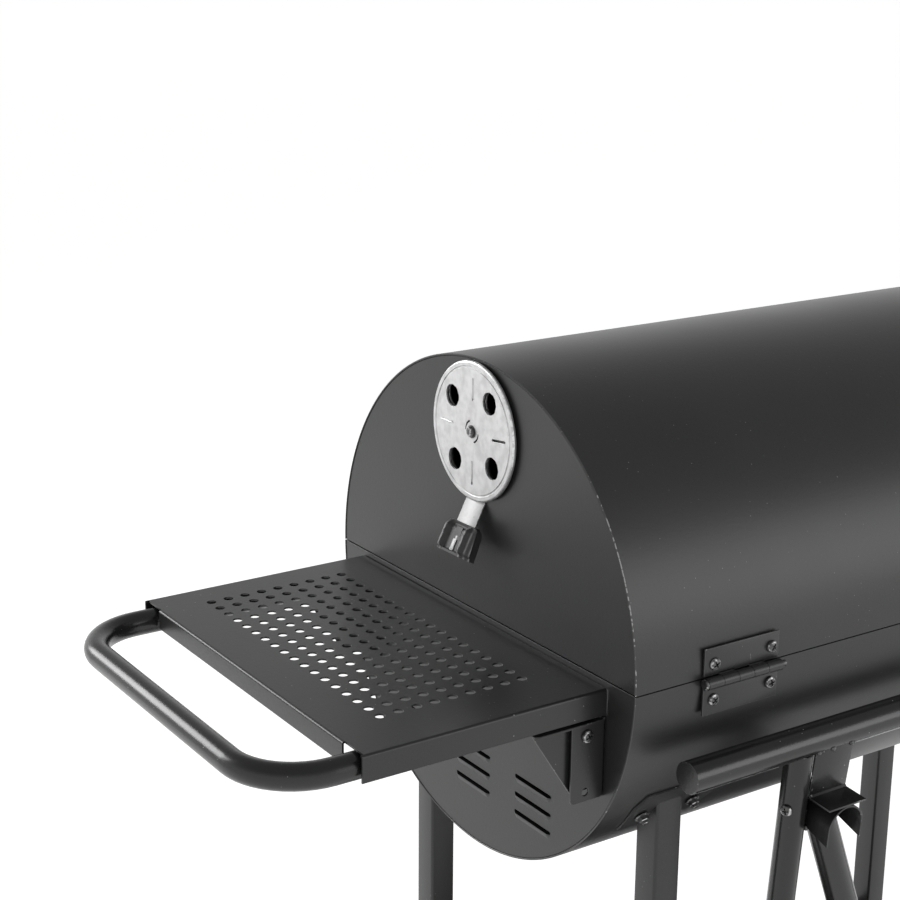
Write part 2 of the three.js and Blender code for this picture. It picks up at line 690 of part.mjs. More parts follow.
// ---- Cooking grates and charcoal tray inside the barrel
function grate(name, x0, x1, halfWidth, z, bars) {
  const wire = 5;
  const pieces = [
    box(x0, x1, -halfWidth, -halfWidth + wire, z, z + wire),
    box(x0, x1, halfWidth - wire, halfWidth, z, z + wire),
  ];
  for (let i = 0; i <= bars; i++) {
    const x = x0 + ((x1 - x0 - wire) * i) / bars;
    pieces.push(box(x, x + wire, -halfWidth + 1, halfWidth - 1, z + 1, z + wire - 0.5));
  }
  add(name, join(...pieces), wireSteel);
}
const grateGap = 6;
const grateHalfWidth = 196;
const grateZ = ledgeZ + gap;
grate("cooking_grate_table_side", -barrelLength / 2 + grateGap / 2, -18, grateHalfWidth, grateZ,
  15);
grate("cooking_grate_firebox_side", -barrelLength + 18, -barrelLength / 2 - grateGap / 2,
  grateHalfWidth, grateZ, 15);

const trayHalf = 150;
const trayZ = axisHeight - 132;
const trayHeight = 30;
const trayEndClear = 60;
const trayFrom = -barrelLength + trayEndClear;
add("charcoal_tray",
  cut(
    box(trayFrom, -trayEndClear, -trayHalf, trayHalf, trayZ, trayZ + trayHeight),
    box(trayFrom + sheet, -trayEndClear - sheet, -trayHalf + sheet, trayHalf - sheet,
      trayZ + sheet, trayZ + trayHeight + 10)), blackPaint);

// ---- Firebox: a smaller barrel with its own lid, air inlet, grate and ash drawer
const small = halves(fireboxRadius);
const fireboxEnd = fireboxStart - fireboxLength;
const smallSteps = 24;
const lidStart = fireboxStart - 4;
add("firebox_trough",
  shell(fireboxRadius, ...small.lower, fireboxEnd, fireboxStart, fireboxZ, smallSteps),
  blackPaint);
add("firebox_end_barrel_side",
  cut(endCap(fireboxRadius, small.lower, fireboxStart - sheet, fireboxZ, smallSteps), throat),
  blackPaint);
const fireboxOuterX = fireboxEnd + capInset;
const inletHoles = (x0, x1) => holeCircle(x0, x1, inletZ, 21, 9.5, 3, Math.PI / 2);
const inletPivot = rodX(fireboxOuterX - 10, fireboxOuterX + 10, 0, inletZ, 3.3, 10);
const drawerMouth = box(fireboxOuterX - 10, fireboxOuterX + 10, -drawerHalfWidth - 1,
  drawerHalfWidth + 1, drawerFloorZ - 1, drawerFloorZ + drawerHeight + 1);
add("firebox_end_outer",
  cut(endCap(fireboxRadius, small.lower, fireboxOuterX, fireboxZ, smallSteps),
    ...inletHoles(fireboxOuterX - 10, fireboxOuterX + 10), inletPivot, drawerMouth), blackPaint);
add("firebox_lid_shell",
  shell(fireboxRadius, ...small.upper, fireboxEnd, lidStart, fireboxZ, smallSteps), blackPaint);
add("firebox_lid_end_barrel_side",
  endCap(fireboxRadius, small.upper, lidStart - capInset - sheet, fireboxZ, smallSteps),
  blackPaint);
add("firebox_lid_end_outer",
  endCap(fireboxRadius, small.upper, fireboxOuterX, fireboxZ, smallSteps), blackPaint);
lidHandle("firebox_lid_handle", (lidStart + fireboxEnd) / 2, 150, fireboxRadius, fireboxZ, 42,
  degrees(150), 6.5);
const fireboxHingeY = fireboxRadius + 5;
const fireboxHingeZ = fireboxZ - 4.7;
hinge((lidStart + fireboxEnd) / 2, hingeWidth, fireboxHingeY, fireboxHingeZ,
  "firebox_hinge_upper_leaf", "firebox_hinge_lower_leaf");

const inletDisc = cut(
  rodX(fireboxOuterX - 2, fireboxOuterX - 0.5, 0, inletZ, inletRadius, 28),
  ...inletHoles(fireboxOuterX - 10, fireboxOuterX + 10), inletPivot);
const inletTab = box(fireboxOuterX - 16, fireboxOuterX - 0.8, -1, 1, inletZ + inletRadius - 16,
  inletZ + inletRadius - 2);
add("firebox_damper", join(inletDisc, inletTab), zinc);

grate("firebox_grate", fireboxEnd + 12, fireboxStart - 16, 118, fireboxZ - 84, 11);

const drawerBack = fireboxStart - 30;
const drawerBody = cut(
  box(fireboxOuterX - 2.5, drawerBack, -drawerHalfWidth, drawerHalfWidth, drawerFloorZ,
    drawerFloorZ + drawerHeight),
  box(fireboxOuterX, drawerBack - sheet, -drawerHalfWidth + sheet, drawerHalfWidth - sheet,
    drawerFloorZ + sheet, drawerFloorZ + drawerHeight + 5));
const drawerFront = box(fireboxOuterX - 3, fireboxOuterX - 1.5, -drawerHalfWidth - 7,
  drawerHalfWidth + 7, drawerFloorZ - 5, drawerFloorZ + drawerHeight + 1.5);
const drawerPull = cut(
  box(fireboxOuterX - 20, fireboxOuterX - 2.5, -24, 24, drawerFloorZ + 10, drawerFloorZ + 16),
  box(fireboxOuterX - 15, fireboxOuterX - 3, -19, 19, drawerFloorZ, drawerFloorZ + 30));
add("ash_drawer", join(drawerBody, drawerFront, drawerPull), blackPaint);

// ---- Origin at the middle of the footprint, on the ground
const bounds = new THREE.Box3().setFromObject(smoker);
const middle = bounds.getCenter(new THREE.Vector3());
smoker.position.set(-middle.x, -middle.y, -bounds.min.z);

export default smoker;
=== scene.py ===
import math

import bmesh
import bpy
from mathutils import Matrix, Vector, geometry


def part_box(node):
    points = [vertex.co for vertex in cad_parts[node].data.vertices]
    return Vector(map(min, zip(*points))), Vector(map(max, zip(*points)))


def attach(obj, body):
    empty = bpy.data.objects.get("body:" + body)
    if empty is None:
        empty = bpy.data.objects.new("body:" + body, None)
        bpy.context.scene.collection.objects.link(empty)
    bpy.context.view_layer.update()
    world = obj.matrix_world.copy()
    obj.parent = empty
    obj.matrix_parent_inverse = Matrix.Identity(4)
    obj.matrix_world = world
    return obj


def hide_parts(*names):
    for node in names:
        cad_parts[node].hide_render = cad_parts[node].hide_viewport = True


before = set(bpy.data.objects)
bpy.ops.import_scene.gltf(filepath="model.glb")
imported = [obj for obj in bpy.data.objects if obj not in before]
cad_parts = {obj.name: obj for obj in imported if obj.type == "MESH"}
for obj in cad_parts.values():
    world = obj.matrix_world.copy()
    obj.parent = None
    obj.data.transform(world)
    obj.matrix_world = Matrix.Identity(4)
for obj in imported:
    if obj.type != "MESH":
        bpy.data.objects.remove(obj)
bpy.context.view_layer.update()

scene = bpy.context.scene

# ---- Where the smoker stands
# Lengths are in millimetres from the table-side end of the barrel: x runs along the barrel,
# y from its middle towards the hinges, z up from the ground.
MM = 0.001
lid_low, lid_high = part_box("lid_shell")
barrel_end = Vector((lid_high.x, (lid_low.y + lid_high.y) / 2, 0))
axis_z = lid_low.z / MM + 1.5
barrel_length = (lid_high.x - lid_low.x) / MM
barrel_radius = lid_high.z / MM - axis_z


def node_box(name):
    """The corners of a CAD node in the smoker's own millimetres."""
    low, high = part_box(name)
    return (low - barrel_end) / MM, (high - barrel_end) / MM


# ---- Camera, behind the hinge side and a little above the barrel
def camera_turn(azimuth, elevation, roll):
    """Camera axes for a look direction in degrees, with a small roll about it."""
    across, rise = math.radians(azimuth), math.radians(elevation)
    ahead = Vector((math.cos(rise) * math.cos(across), math.cos(rise) * math.sin(across),
                    math.sin(rise)))
    level = ahead.cross(Vector((0, 0, 1))).normalized()
    upright = level.cross(ahead)
    tilt = math.radians(roll)
    right = level * math.cos(tilt) + upright * math.sin(tilt)
    return Matrix((right, right.cross(ahead), -ahead)).transposed()


camera = bpy.data.cameras.new("view")
camera.lens = 74.87
camera.sensor_width = 36
camera.clip_start = 0.05
camera.clip_end = 200
camera_object = bpy.data.objects.new("view", camera)
scene.collection.objects.link(camera_object)
camera_spot = barrel_end + Vector((793.35, 1158.46, axis_z + 542.64)) * MM
camera_object.matrix_world = (Matrix.Translation(camera_spot)
                              @ camera_turn(-123.57, -16.33, 0.42).to_4x4())
scene.camera = camera_object
scene.view_settings.view_transform = "Standard"


# ---- Studio: a wide pale floor under a bright even sky, with two soft lamps
# The floor is matt board; the sky stands for white walls and ceiling all round.
class Value:
    """A shader socket that takes part in sums, so a mask reads as a formula."""

    def __init__(self, finish, socket):
        self.finish = finish
        self.socket = socket

    def maths(self, operation, *terms):
        return self.finish.node("ShaderNodeMath", {"operation": operation},
                                dict(enumerate(terms)))

    def __add__(self, other):
        return self.maths("ADD", self, other)

    def __sub__(self, other):
        return self.maths("SUBTRACT", self, other)

    def __rsub__(self, other):
        return self.maths("SUBTRACT", other, self)

    def __mul__(self, other):
        return self.maths("MULTIPLY", self, other)

    def __abs__(self):
        return self.maths("ABSOLUTE", self)

    __radd__ = __add__
    __rmul__ = __mul__

    def between(self, low, high):
        """0 below low, 1 above high, smooth between; low may be the larger."""
        return self.finish.node("ShaderNodeMapRange", {"interpolation_type": "SMOOTHSTEP"},
                                {0: self, 1: low, 2: high, 3: 0.0, 4: 1.0})


class Finish:
    """A material under construction. Plain numbers go straight on the shader's sockets."""

    def __init__(self, name, **constants):
        self.material = bpy.data.materials.new(name)
        self.material.use_nodes = True
        self.tree = self.material.node_tree
        self.shader = next(n for n in self.tree.nodes if n.type == "BSDF_PRINCIPLED")
        for label, value in constants.items():
            self.give(label.replace("_", " ").title().replace("Ior", "IOR"), value)
        self.spot = self.node("ShaderNodeTexCoord", out="Object")

    def node(self, kind, settings=None, inputs=None, out=0):
        made = self.tree.nodes.new(kind)
        for label, value in (settings or {}).items():
            setattr(made, label, value)
        for label, value in (inputs or {}).items():
            if isinstance(value, Value):
                self.tree.links.new(value.socket, made.inputs[label])
            else:
                made.inputs[label].default_value = value
        return Value(self, made.outputs[out])

    def give(self, label, value):
        if isinstance(value, Value):
            self.tree.links.new(value.socket, self.shader.inputs[label])
        else:
            self.shader.inputs[label].default_value = value

    def noise(self, scale, detail=2.0, where=None):
        return self.node("ShaderNodeTexNoise", None,
                         {"Vector": where or self.spot, "Scale": scale, "Detail": detail})

    def stretched(self, x, y, z):
        return self.node("ShaderNodeMapping", None, {"Vector": self.spot, "Scale": (x, y, z)})

    def mix(self, factor, first, second):
        return self.node("ShaderNodeMix", {"data_type": "RGBA"},
                         {0: factor, 6: first, 7: second}, out=2)

    def bump(self, height, distance, strength=1.0):
        made = self.node("ShaderNodeBump", None,
                         {"Height": height, "Distance": distance, "Strength": strength})
        self.give("Normal", made)

    def specks(self, scale, size, share):
        """Small round spots, size across in metres, in a share of the cells."""
        cell = {"Vector": self.spot, "Scale": scale}
        near = self.node("ShaderNodeTexVoronoi", None, cell)
        pick = self.node("ShaderNodeSeparateColor", None,
                         {0: self.node("ShaderNodeTexVoronoi", None, cell, out=1)})
        chosen = pick.between(1 - share, 1 - share + 0.01)
        return near.between(size * scale * 0.5, size * scale * 0.25) * chosen

    def worn_edge(self, cover):
        """Where paint has rubbed off the edges that a mesh marks."""
        edge = self.node("ShaderNodeAttribute", {"attribute_name": "edge"}, out=2)
        return (edge * cover + self.noise(310, 4)).between(1.0, 1.09)


def grey(level):
    return (level, level, level, 1)


floor_board = Finish("floor_board", roughness=0.9, specular_ior_level=0.1,
                     emission_color=grey(1), emission_strength=0.66)
floor_board.give("Base Color", floor_board.mix(floor_board.noise(300, 2), grey(0.66),
                                               grey(0.70)))
floor_mesh = bpy.data.meshes.new("floor")
floor_reach = 90
floor_mesh.from_pydata([(-floor_reach, -floor_reach, 0), (floor_reach, -floor_reach, 0),
                        (floor_reach, floor_reach, 0), (-floor_reach, floor_reach, 0)],
                       [], [(0, 1, 2, 3)])
floor_mesh.materials.append(floor_board.material)
floor = bpy.data.objects.new("floor", floor_mesh)
scene.collection.objects.link(floor)

sky = bpy.data.worlds.new("studio")
sky.use_nodes = True
sky_light = next(n for n in sky.node_tree.nodes if n.type == "BACKGROUND")
sky_light.inputs["Color"].default_value = grey(1)
sky_spot = sky.node_tree.nodes.new("ShaderNodeTexCoord")
sky_parts = sky.node_tree.nodes.new("ShaderNodeSeparateXYZ")
sky_fall = sky.node_tree.nodes.new("ShaderNodeMapRange")
sky_fall.interpolation_type = "SMOOTHSTEP"
for label, value in enumerate((0, 0.12, 0.72, 1.0, 0.36)):
    sky_fall.inputs[label].default_value = value
sky.node_tree.links.new(sky_spot.outputs["Generated"], sky_parts.inputs[0])
sky.node_tree.links.new(sky_parts.outputs["Z"], sky_fall.inputs[0])
sky.node_tree.links.new(sky_fall.outputs[0], sky_light.inputs["Strength"])
scene.world = sky


def soft_lamp(name, spot, target, width, power):
    lamp = bpy.data.lights.new(name, "AREA")
    lamp.shape = "SQUARE"
    lamp.size = width
    lamp.energy = power
    lamp_object = bpy.data.objects.new(name, lamp)
    scene.collection.objects.link(lamp_object)
    aim = (Vector(target) - Vector(spot)).to_track_quat("-Z", "Y")
    lamp_object.matrix_world = Matrix.Translation(spot) @ aim.to_matrix().to_4x4()
    lamp_object.visible_camera = False


soft_lamp("key_lamp", (2.0, -2.6, 1.9), (0.35, 0, 0.85), 1.3, 45)
soft_lamp("side_lamp", (-2.6, 3.6, 1.75), (0, 0.1, 0.8), 2.2, 36)


# ---- Barrel trough: the lower half of the barrel, rolled sheet steel under satin black powder
# coat, with two ledges welded inside for the grates. Paint is rubbed off its end rims, which
# also carry a painted highlight.
def powder_coat(name, tone, roughness, wear=0.36, dusting=0.4, scratches=0.0):
    coat = Finish(name, specular_ior_level=0.5)
    patches = coat.noise(7, 3)
    grain = coat.noise(1100, 2)
    shades = coat.mix(patches.between(0.35, 0.68), grey(tone * 0.84), grey(tone * 1.16))
    speckled = coat.mix(grain.between(0.35, 0.7), shades, grey(tone * 1.3))
    dust = coat.specks(260, 0.0009, 0.16) * coat.noise(9, 2).between(0.40, 0.62) * dusting
    dusty = coat.mix(dust, speckled, grey(0.42))
    if scratches:
        strokes = coat.noise(210, 3, coat.stretched(2.8, 1, 0.5)).between(0.70, 0.74)
        dusty = coat.mix(strokes * scratches, dusty, grey(0.5))
    edge = coat.node("ShaderNodeAttribute", {"attribute_name": "edge"}, out=2)
    # Every marked edge is painted lighter along its whole length. This is a painted highlight on
    # the rounded edges, under the worn chips.
    edge_painted_highlight = coat.mix(edge * 0.5, dusty, grey(0.075))
    bare = coat.worn_edge(wear)
    coat.give("Base Color", coat.mix(bare, edge_painted_highlight, grey(0.34)))
    coat.give("Metallic", bare * 0.5)
    coat.give("Roughness", roughness + patches * 0.10 - 0.05 + dust * 0.2)
    coat.bump(grain * 0.6 + coat.noise(340, 1) * 0.8, 0.00012, 0.5)
    return coat.material


black_paint = powder_coat("black_paint", 0.0125, 0.37)


def new_mesh():
    """An empty mesh whose faces can be marked as edge, where the paint wears and is painted
    lighter as a painted highlight.
    """
    mesh = bmesh.new()
    mesh.faces.layers.float.new("edge")
    return mesh


def skin(mesh, first, second, closed=True, edge=0.0):
    """Quads between two rows of the same number of points."""
    layer = mesh.faces.layers.float["edge"]
    count = len(first)
    for i in range(count if closed else count - 1):
        j = (i + 1) % count
        corners = []
        for corner in (first[i], first[j], second[j], second[i]):
            if corner not in corners:
                corners.append(corner)
        if len(corners) > 2:
            face = mesh.faces.new(corners)
            face[layer] = edge


def arc(radius, start, end, steps, centre=(0, 0)):
    """Points of an arc, angles in radians from +y towards +z."""
    spread = [start + (end - start) * i / steps for i in range(steps + 1)]
    return [(centre[0] + radius * math.cos(a), centre[1] + radius * math.sin(a))
            for a in spread]


def finish_piece(name, mesh, body, slot, material, *nodes, crease=35):
    """Turns millimetres into the frame's metres and makes the object that rides on a body."""
    bmesh.ops.recalc_face_normals(mesh, faces=mesh.faces)
    data = bpy.data.meshes.new(name)
    mesh.to_mesh(data)
    mesh.free()
    data.transform(Matrix.Translation(barrel_end) @ Matrix.Scale(MM, 4))
    data.shade_smooth()
    data.set_sharp_from_angle(angle=math.radians(crease))
    data.materials.clear()
    data.materials.append(material)
    piece = bpy.data.objects.new(name, data)
    scene.collection.objects.link(piece)
    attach(piece, body)
    if nodes:
        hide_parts(*nodes)
    return piece


sheet = 1.5
seam_drop = 2
seam_slit = 0.5


def half_angles(radius, upper):
    """Where the upper or lower half of a barrel begins and ends, just under its axis."""
    seam = math.asin(seam_drop / radius)
    slit = seam_slit / radius
    if upper:
        return -seam + slit, math.pi + seam - slit
    return math.pi + seam + slit, 2 * math.pi - seam - slit


def ease(value, low, high):
    """0 below low, 1 above high, smooth between."""
    t = min(1.0, max(0.0, (value - low) / (high - low)))
    return t * t * (3 - 2 * t)


def rolled_sheet(mesh, radius, angles, x0, x1, height, steps=120, rim=0.5, rubbed=0.0):
    """A curved sheet about an axis along x, with its two end rims rounded off."""
    inner = radius - sheet
    section = [(x0, radius - rim), (x0 + rim, radius), (x1 - rim, radius), (x1, radius - rim),
               (x1, inner + rim), (x1 - rim, inner), (x0 + rim, inner), (x0, inner + rim)]
    rows = []
    for y, z in arc(1, *angles, steps):
        rows.append([mesh.verts.new((x, r * y, height + r * z)) for x, r in section])
    layer = mesh.faces.layers.float["edge"]
    for first, second in zip(rows, rows[1:]):
        skin(mesh, first, second)
    for face in mesh.faces:
        spread = {round(v.co.x, 3) for v in face.verts}
        if len(spread) == 2 and max(spread) - min(spread) < rim + 0.01:
            out = min(v.co.y for v in face.verts) / radius
            # Rim faces are marked as edge and so get the painted edge highlight. The rubbed part
            # adds worn chips there and also strengthens that painted highlight.
            face[layer] = 1.0 + rubbed * ease(out, 0.68, 0.86) * (1 - 0.6 * ease(out, 0.93, 0.99))
    for row in (rows[0], rows[-1]):
        mesh.faces.new(row)[layer] = 0.4


def merge(mesh, other):
    """Adds the faces of another mesh, which is then done with."""
    data = bpy.data.meshes.new("part")
    other.to_mesh(data)
    other.free()
    mesh.from_mesh(data)
    bpy.data.meshes.remove(data)


def soften(mesh, width, segments=2, sharper_than=40):
    """Rounds the sharp edges and marks the new faces as edge."""
    layer = mesh.faces.layers.float["edge"]
    mesh.normal_update()
    sharp = [e for e in mesh.edges if len(e.link_faces) == 2
             and e.calc_face_angle() > math.radians(sharper_than)]
    rounded = bmesh.ops.bevel(mesh, geom=sharp, offset=width, segments=segments,
                              profile=0.5, affect="EDGES", clamp_overlap=True)
    for face in rounded["faces"]:
        face[layer] = 1.0


def block(mesh, low, high, edge=0.6, place=None):
    """A bar or plate between two corners, with rounded edges."""
    bar = new_mesh()
    corners = [bar.verts.new((x, y, z)) for z in (low[2], high[2])
               for x, y in ((low[0], low[1]), (high[0], low[1]), (high[0], high[1]),
                            (low[0], high[1]))]
    skin(bar, corners[:4], corners[4:])
    bar.faces.new(corners[:4])
    bar.faces.new(corners[4:])
    bmesh.ops.recalc_face_normals(bar, faces=bar.faces)
    if edge:
        soften(bar, edge)
    if place:
        bmesh.ops.transform(bar, matrix=place, verts=bar.verts)
    merge(mesh, bar)


main_upper = half_angles(barrel_radius, True)
main_lower = half_angles(barrel_radius, False)
trough = new_mesh()
rolled_sheet(trough, barrel_radius, main_lower, -barrel_length, 0, axis_z)
ledge_z = axis_z - 20
for side in (-1, 1):
    ledge_y = sorted((side * 182, side * 203.2))
    block(trough, (-barrel_length + 14, ledge_y[0], ledge_z - 2),
          (-14, ledge_y[1], ledge_z), 0.4)
finish_piece("trough_sheet", trough, "stand", "black_paint", black_paint, "barrel_trough")


# ---- Barrel ends: flat half discs of sheet set just inside the rolled sheet. The table-side one
# has nine louvres pressed inwards, the firebox-side one a mouth into the firebox.
def turned_ccw(loop):
    area = sum(a[0] * b[1] - b[0] * a[1] for a, b in zip(loop, loop[1:] + loop[:1]))
    return loop if area > 0 else loop[::-1]


def drawn_in(loop, distance):
    """The loop moved to the left of its direction of travel."""
    moved = []
    for i, point in enumerate(loop):
        before = Vector(point) - Vector(loop[i - 1])
        after = Vector(loop[(i + 1) % len(loop)]) - Vector(point)
        first = Vector((-before.y, before.x)).normalized()
        second = Vector((-after.y, after.x)).normalized()
        spread = max(1 + first.dot(second), 0.3)
        moved.append(Vector(point) + (first + second) * distance / spread)
    return moved


def inside(point, loop):
    """Whether a point lies inside a loop."""
    crossed = False
    for i, b in enumerate(loop):
        a = loop[i - 1]
        if (a[1] > point[1]) != (b[1] > point[1]):
            if point[0] < (b[0] - a[0]) * (point[1] - a[1]) / (b[1] - a[1]) + a[0]:
                crossed = not crossed
    return crossed


def plate(mesh, outline, holes, place, thickness, rim=0.3, edge=1.0):
    """A flat sheet with holes. place(u, v, w) gives a point, w being the depth into it."""
    loops = [turned_ccw(outline)] + [turned_ccw(hole)[::-1] for hole in holes]
    rings, flat, edges = [], [], []
    for loop in loops:
        inset = drawn_in(loop, rim)
        start = len(flat)
        edges += [(start + i, start + (i + 1) % len(loop)) for i in range(len(loop))]
        flat += inset
        rings.append([(place(a[0], a[1], 0), place(b[0], b[1], rim),
                       place(b[0], b[1], thickness)) for a, b in zip(inset, loop)])
    points, _, faces, origins, _, _ = geometry.delaunay_2d_cdt(flat, edges, [], 1, 1e-7)
    front, middle, back = [], [], []
    for ring in rings:
        front += [mesh.verts.new(p[0]) for p in ring]
        middle += [mesh.verts.new(p[1]) for p in ring]
        back += [mesh.verts.new(p[2]) for p in ring]
    start = 0
    for ring in rings:
        stop = start + len(ring)
        skin(mesh, front[start:stop], middle[start:stop], edge=edge)
        skin(mesh, middle[start:stop], back[start:stop])
        start = stop
    for face in faces:
        centre = sum((points[i] for i in face), Vector((0, 0))) / 3
        if not inside(centre, loops[0]) or any(inside(centre, hole) for hole in loops[1:]):
            continue
        corners = [origins[i][0] for i in face]
        mesh.faces.new([front[i] for i in corners])
        mesh.faces.new([back[i] for i in reversed(corners)])


def round_hole(u, v, radius, sides=32):
    return [(u + radius * math.cos(math.tau * i / sides),
             v + radius * math.sin(math.tau * i / sides)) for i in range(sides)]


def long_hole(u, v, half_length, half_height, steps=8, turn=0.0):
    """A slot with round ends."""
    reach = half_length - half_height
    right = arc(half_height, -math.pi / 2, math.pi / 2, steps, (reach, 0))
    left = arc(half_height, math.pi / 2, 1.5 * math.pi, steps, (-reach, 0))
    c, s = math.cos(turn), math.sin(turn)
    return [(u + c * a - s * b, v + s * a + c * b) for a, b in right + left]


def on_end(x, height, way=1):
    """Places a plate upright across the barrel, its face looking along x one way."""
    return lambda u, v, w: (x - way * w, u, height + v)


def half_disc(radius, angles, steps=120):
    return arc(radius - sheet - 0.3, *angles, steps)


class Growth:
    """A Geometry Nodes group under construction, with named inputs."""

    def __init__(self, name, inputs):
        self.group = bpy.data.node_groups.new(name, "GeometryNodeTree")
        port = self.group.interface.new_socket
        port("Geometry", in_out="INPUT", socket_type="NodeSocketGeometry")
        for label, kind in inputs.items():
            port(label, in_out="INPUT", socket_type="NodeSocket" + kind)
        port("Geometry", in_out="OUTPUT", socket_type="NodeSocketGeometry")
        self.given = self.group.nodes.new("NodeGroupInput").outputs
        self.result = self.group.nodes.new("NodeGroupOutput").inputs

    def node(self, kind, settings=None, inputs=None, out=0):
        made = self.group.nodes.new(kind)
        for label, value in (settings or {}).items():
            setattr(made, label, value)
        for label, value in (inputs or {}).items():
            if isinstance(value, bpy.types.NodeSocket):
                self.group.links.new(value, made.inputs[label])
            else:
                made.inputs[label].default_value = value
        return made.outputs[out]

    def end(self, grown):
        """Realized geometry with its material is what the group gives back."""
        real = self.node("GeometryNodeRealizeInstances", None, {"Geometry": grown})
        painted = self.node("GeometryNodeSetMaterial", None,
                            {"Geometry": real, "Material": self.given["Material"]})
        self.group.links.new(painted, self.result["Geometry"])

    def run(self, base, **values):
        """Grows on a base mesh and returns the plain mesh that comes of it."""
        grower = bpy.data.objects.new("grower", base)
        scene.collection.objects.link(grower)
        modifier = grower.modifiers.new("growth", "NODES")
        modifier.node_group = self.group
        for item in self.group.interface.items_tree:
            if item.in_out == "INPUT" and item.name in values:
                modifier[item.identifier] = values[item.name]
        depsgraph = bpy.context.evaluated_depsgraph_get()
        grown = bpy.data.meshes.new_from_object(grower.evaluated_get(depsgraph))
        bpy.data.objects.remove(grower)
        bpy.data.meshes.remove(base)
        mesh = new_mesh()
        mesh.from_mesh(grown)
        bpy.data.meshes.remove(grown)
        return mesh


# Copies of one small part, one at each point of a cloud, each facing its own way.
copies = Growth("copies_on_points", {"Part": "Object", "Material": "Material"})
facing = copies.node("GeometryNodeInputNamedAttribute", {"data_type": "FLOAT_VECTOR"},
                     {"Name": "facing"})
turn_about = copies.node("GeometryNodeInputNamedAttribute", {"data_type": "FLOAT_VECTOR"},
                         {"Name": "turn"})
size_of = copies.node("GeometryNodeInputNamedAttribute", {"data_type": "FLOAT_VECTOR"},
                      {"Name": "size"})
aimed = copies.node("FunctionNodeAlignRotationToVector", {"axis": "Z"}, {"Vector": facing})
turned = copies.node("FunctionNodeRotateRotation", {"rotation_space": "LOCAL"},
                     {0: aimed,
                      1: copies.node("FunctionNodeEulerToRotation", None, {0: turn_about})})
part_shape = copies.node("GeometryNodeObjectInfo", {"transform_space": "ORIGINAL"},
                         {"Object": copies.given["Part"]}, out="Geometry")
copies.end(copies.node("GeometryNodeInstanceOnPoints", None,
                       {"Points": copies.given["Geometry"], "Instance": part_shape,
                        "Rotation": turned, "Scale": size_of}))


def copy_part(part, spots, material):
    """One mesh of copies of a part. A spot is (point, facing, turn, size)."""
    data = bpy.data.meshes.new("part")
    bmesh.ops.recalc_face_normals(part, faces=part.faces)
    part.to_mesh(data)
    part.free()
    pattern = bpy.data.objects.new("part", data)
    scene.collection.objects.link(pattern)
    cloud = bpy.data.meshes.new("cloud")
    cloud.from_pydata([tuple(spot[0]) for spot in spots], [], [])
    for label, values in (("facing", [spot[1] for spot in spots]),
                          ("turn", [(0, 0, spot[2]) for spot in spots]),
                          ("size", [(spot[3],) * 3 for spot in spots])):
        layer = cloud.attributes.new(label, "FLOAT_VECTOR", "POINT")
        layer.data.foreach_set("vector", [c for value in values for c in value])
    grown = copies.run(cloud, Part=pattern, Material=material)
    bpy.data.objects.remove(pattern)
    bpy.data.meshes.remove(data)
    return grown


louvre_spots = [(y, -drop) for y in (-83, 0, 83) for drop in (124, 139.5, 155)]
cap_x = -0.6
louvre_half = 24
lower_end = new_mesh()
plate(lower_end, half_disc(barrel_radius, main_lower),
      [long_hole(y, z + 1.3, louvre_half, 1.15) for y, z in louvre_spots],
      on_end(cap_x, axis_z), sheet, 0.2)

# One louvre: the lip below a slit, pressed outwards along its top and fading into the sheet.
louvre = new_mesh()
lip_rows = []
for step in range(9):
    down = step / 8
    row = []
    for k in range(33):
        across = -1 + k / 16
        fade = ease(1 - abs(across), 0, 0.14)
        swell = 1.5 * fade * math.cos(down * math.pi / 2) ** 1.4
        row.append(louvre.verts.new((swell + 0.02, across * louvre_half,
                                     0.25 - 4.6 * down * (0.35 + 0.65 * fade))))
    lip_rows.append(row)
back_rows = [[louvre.verts.new((-1.1, v.co.y, v.co.z)) for v in row] for row in lip_rows]
for rows in (lip_rows, back_rows):
    for first, second in zip(rows, rows[1:]):
        skin(louvre, first, second, closed=False)
for get in (lambda rows: rows[0], lambda rows: rows[-1],
            lambda rows: [row[0] for row in rows], lambda rows: [row[-1] for row in rows]):
    skin(louvre, get(lip_rows), get(back_rows), closed=False)
bmesh.ops.recalc_face_normals(louvre, faces=louvre.faces)
louvre_cloud = [((cap_x, y, axis_z + z), (0, 0, 1), 0, 1) for y, z in louvre_spots]
merge(lower_end, copy_part(louvre, louvre_cloud, black_paint))
finish_piece("trough_table_end", lower_end, "stand", "black_paint", black_paint,
             "trough_end_table_side")

mouth = [(-100, -135), (-55, -188), (55, -188), (100, -135)]
far_end = new_mesh()
plate(far_end, half_disc(barrel_radius, main_lower), [mouth],
      on_end(-barrel_length + 0.6, axis_z, -1), sheet)
finish_piece("trough_far_end", far_end, "stand", "black_paint", black_paint,
             "trough_end_firebox_side")

# ---- Lid: the upper half of the barrel, of the same rolled sheet, with flat ends. The
# table-side end has the four smoke holes under the damper.
lid = new_mesh()
rolled_sheet(lid, barrel_radius, main_upper, -barrel_length, 0, axis_z, rim=0.6,
             rubbed=0.62)
finish_piece("lid_sheet", lid, "lid", "black_paint", black_paint, "lid_shell")

damper_z = node_box("damper_cover")[0].z + 56
damper_turn = math.radians(4.7)


def hole_ring(height, pitch, radius, count, first):
    return [round_hole(pitch * math.cos(first + math.tau * i / count),
                       height + pitch * math.sin(first + math.tau * i / count), radius)
            for i in range(count)]


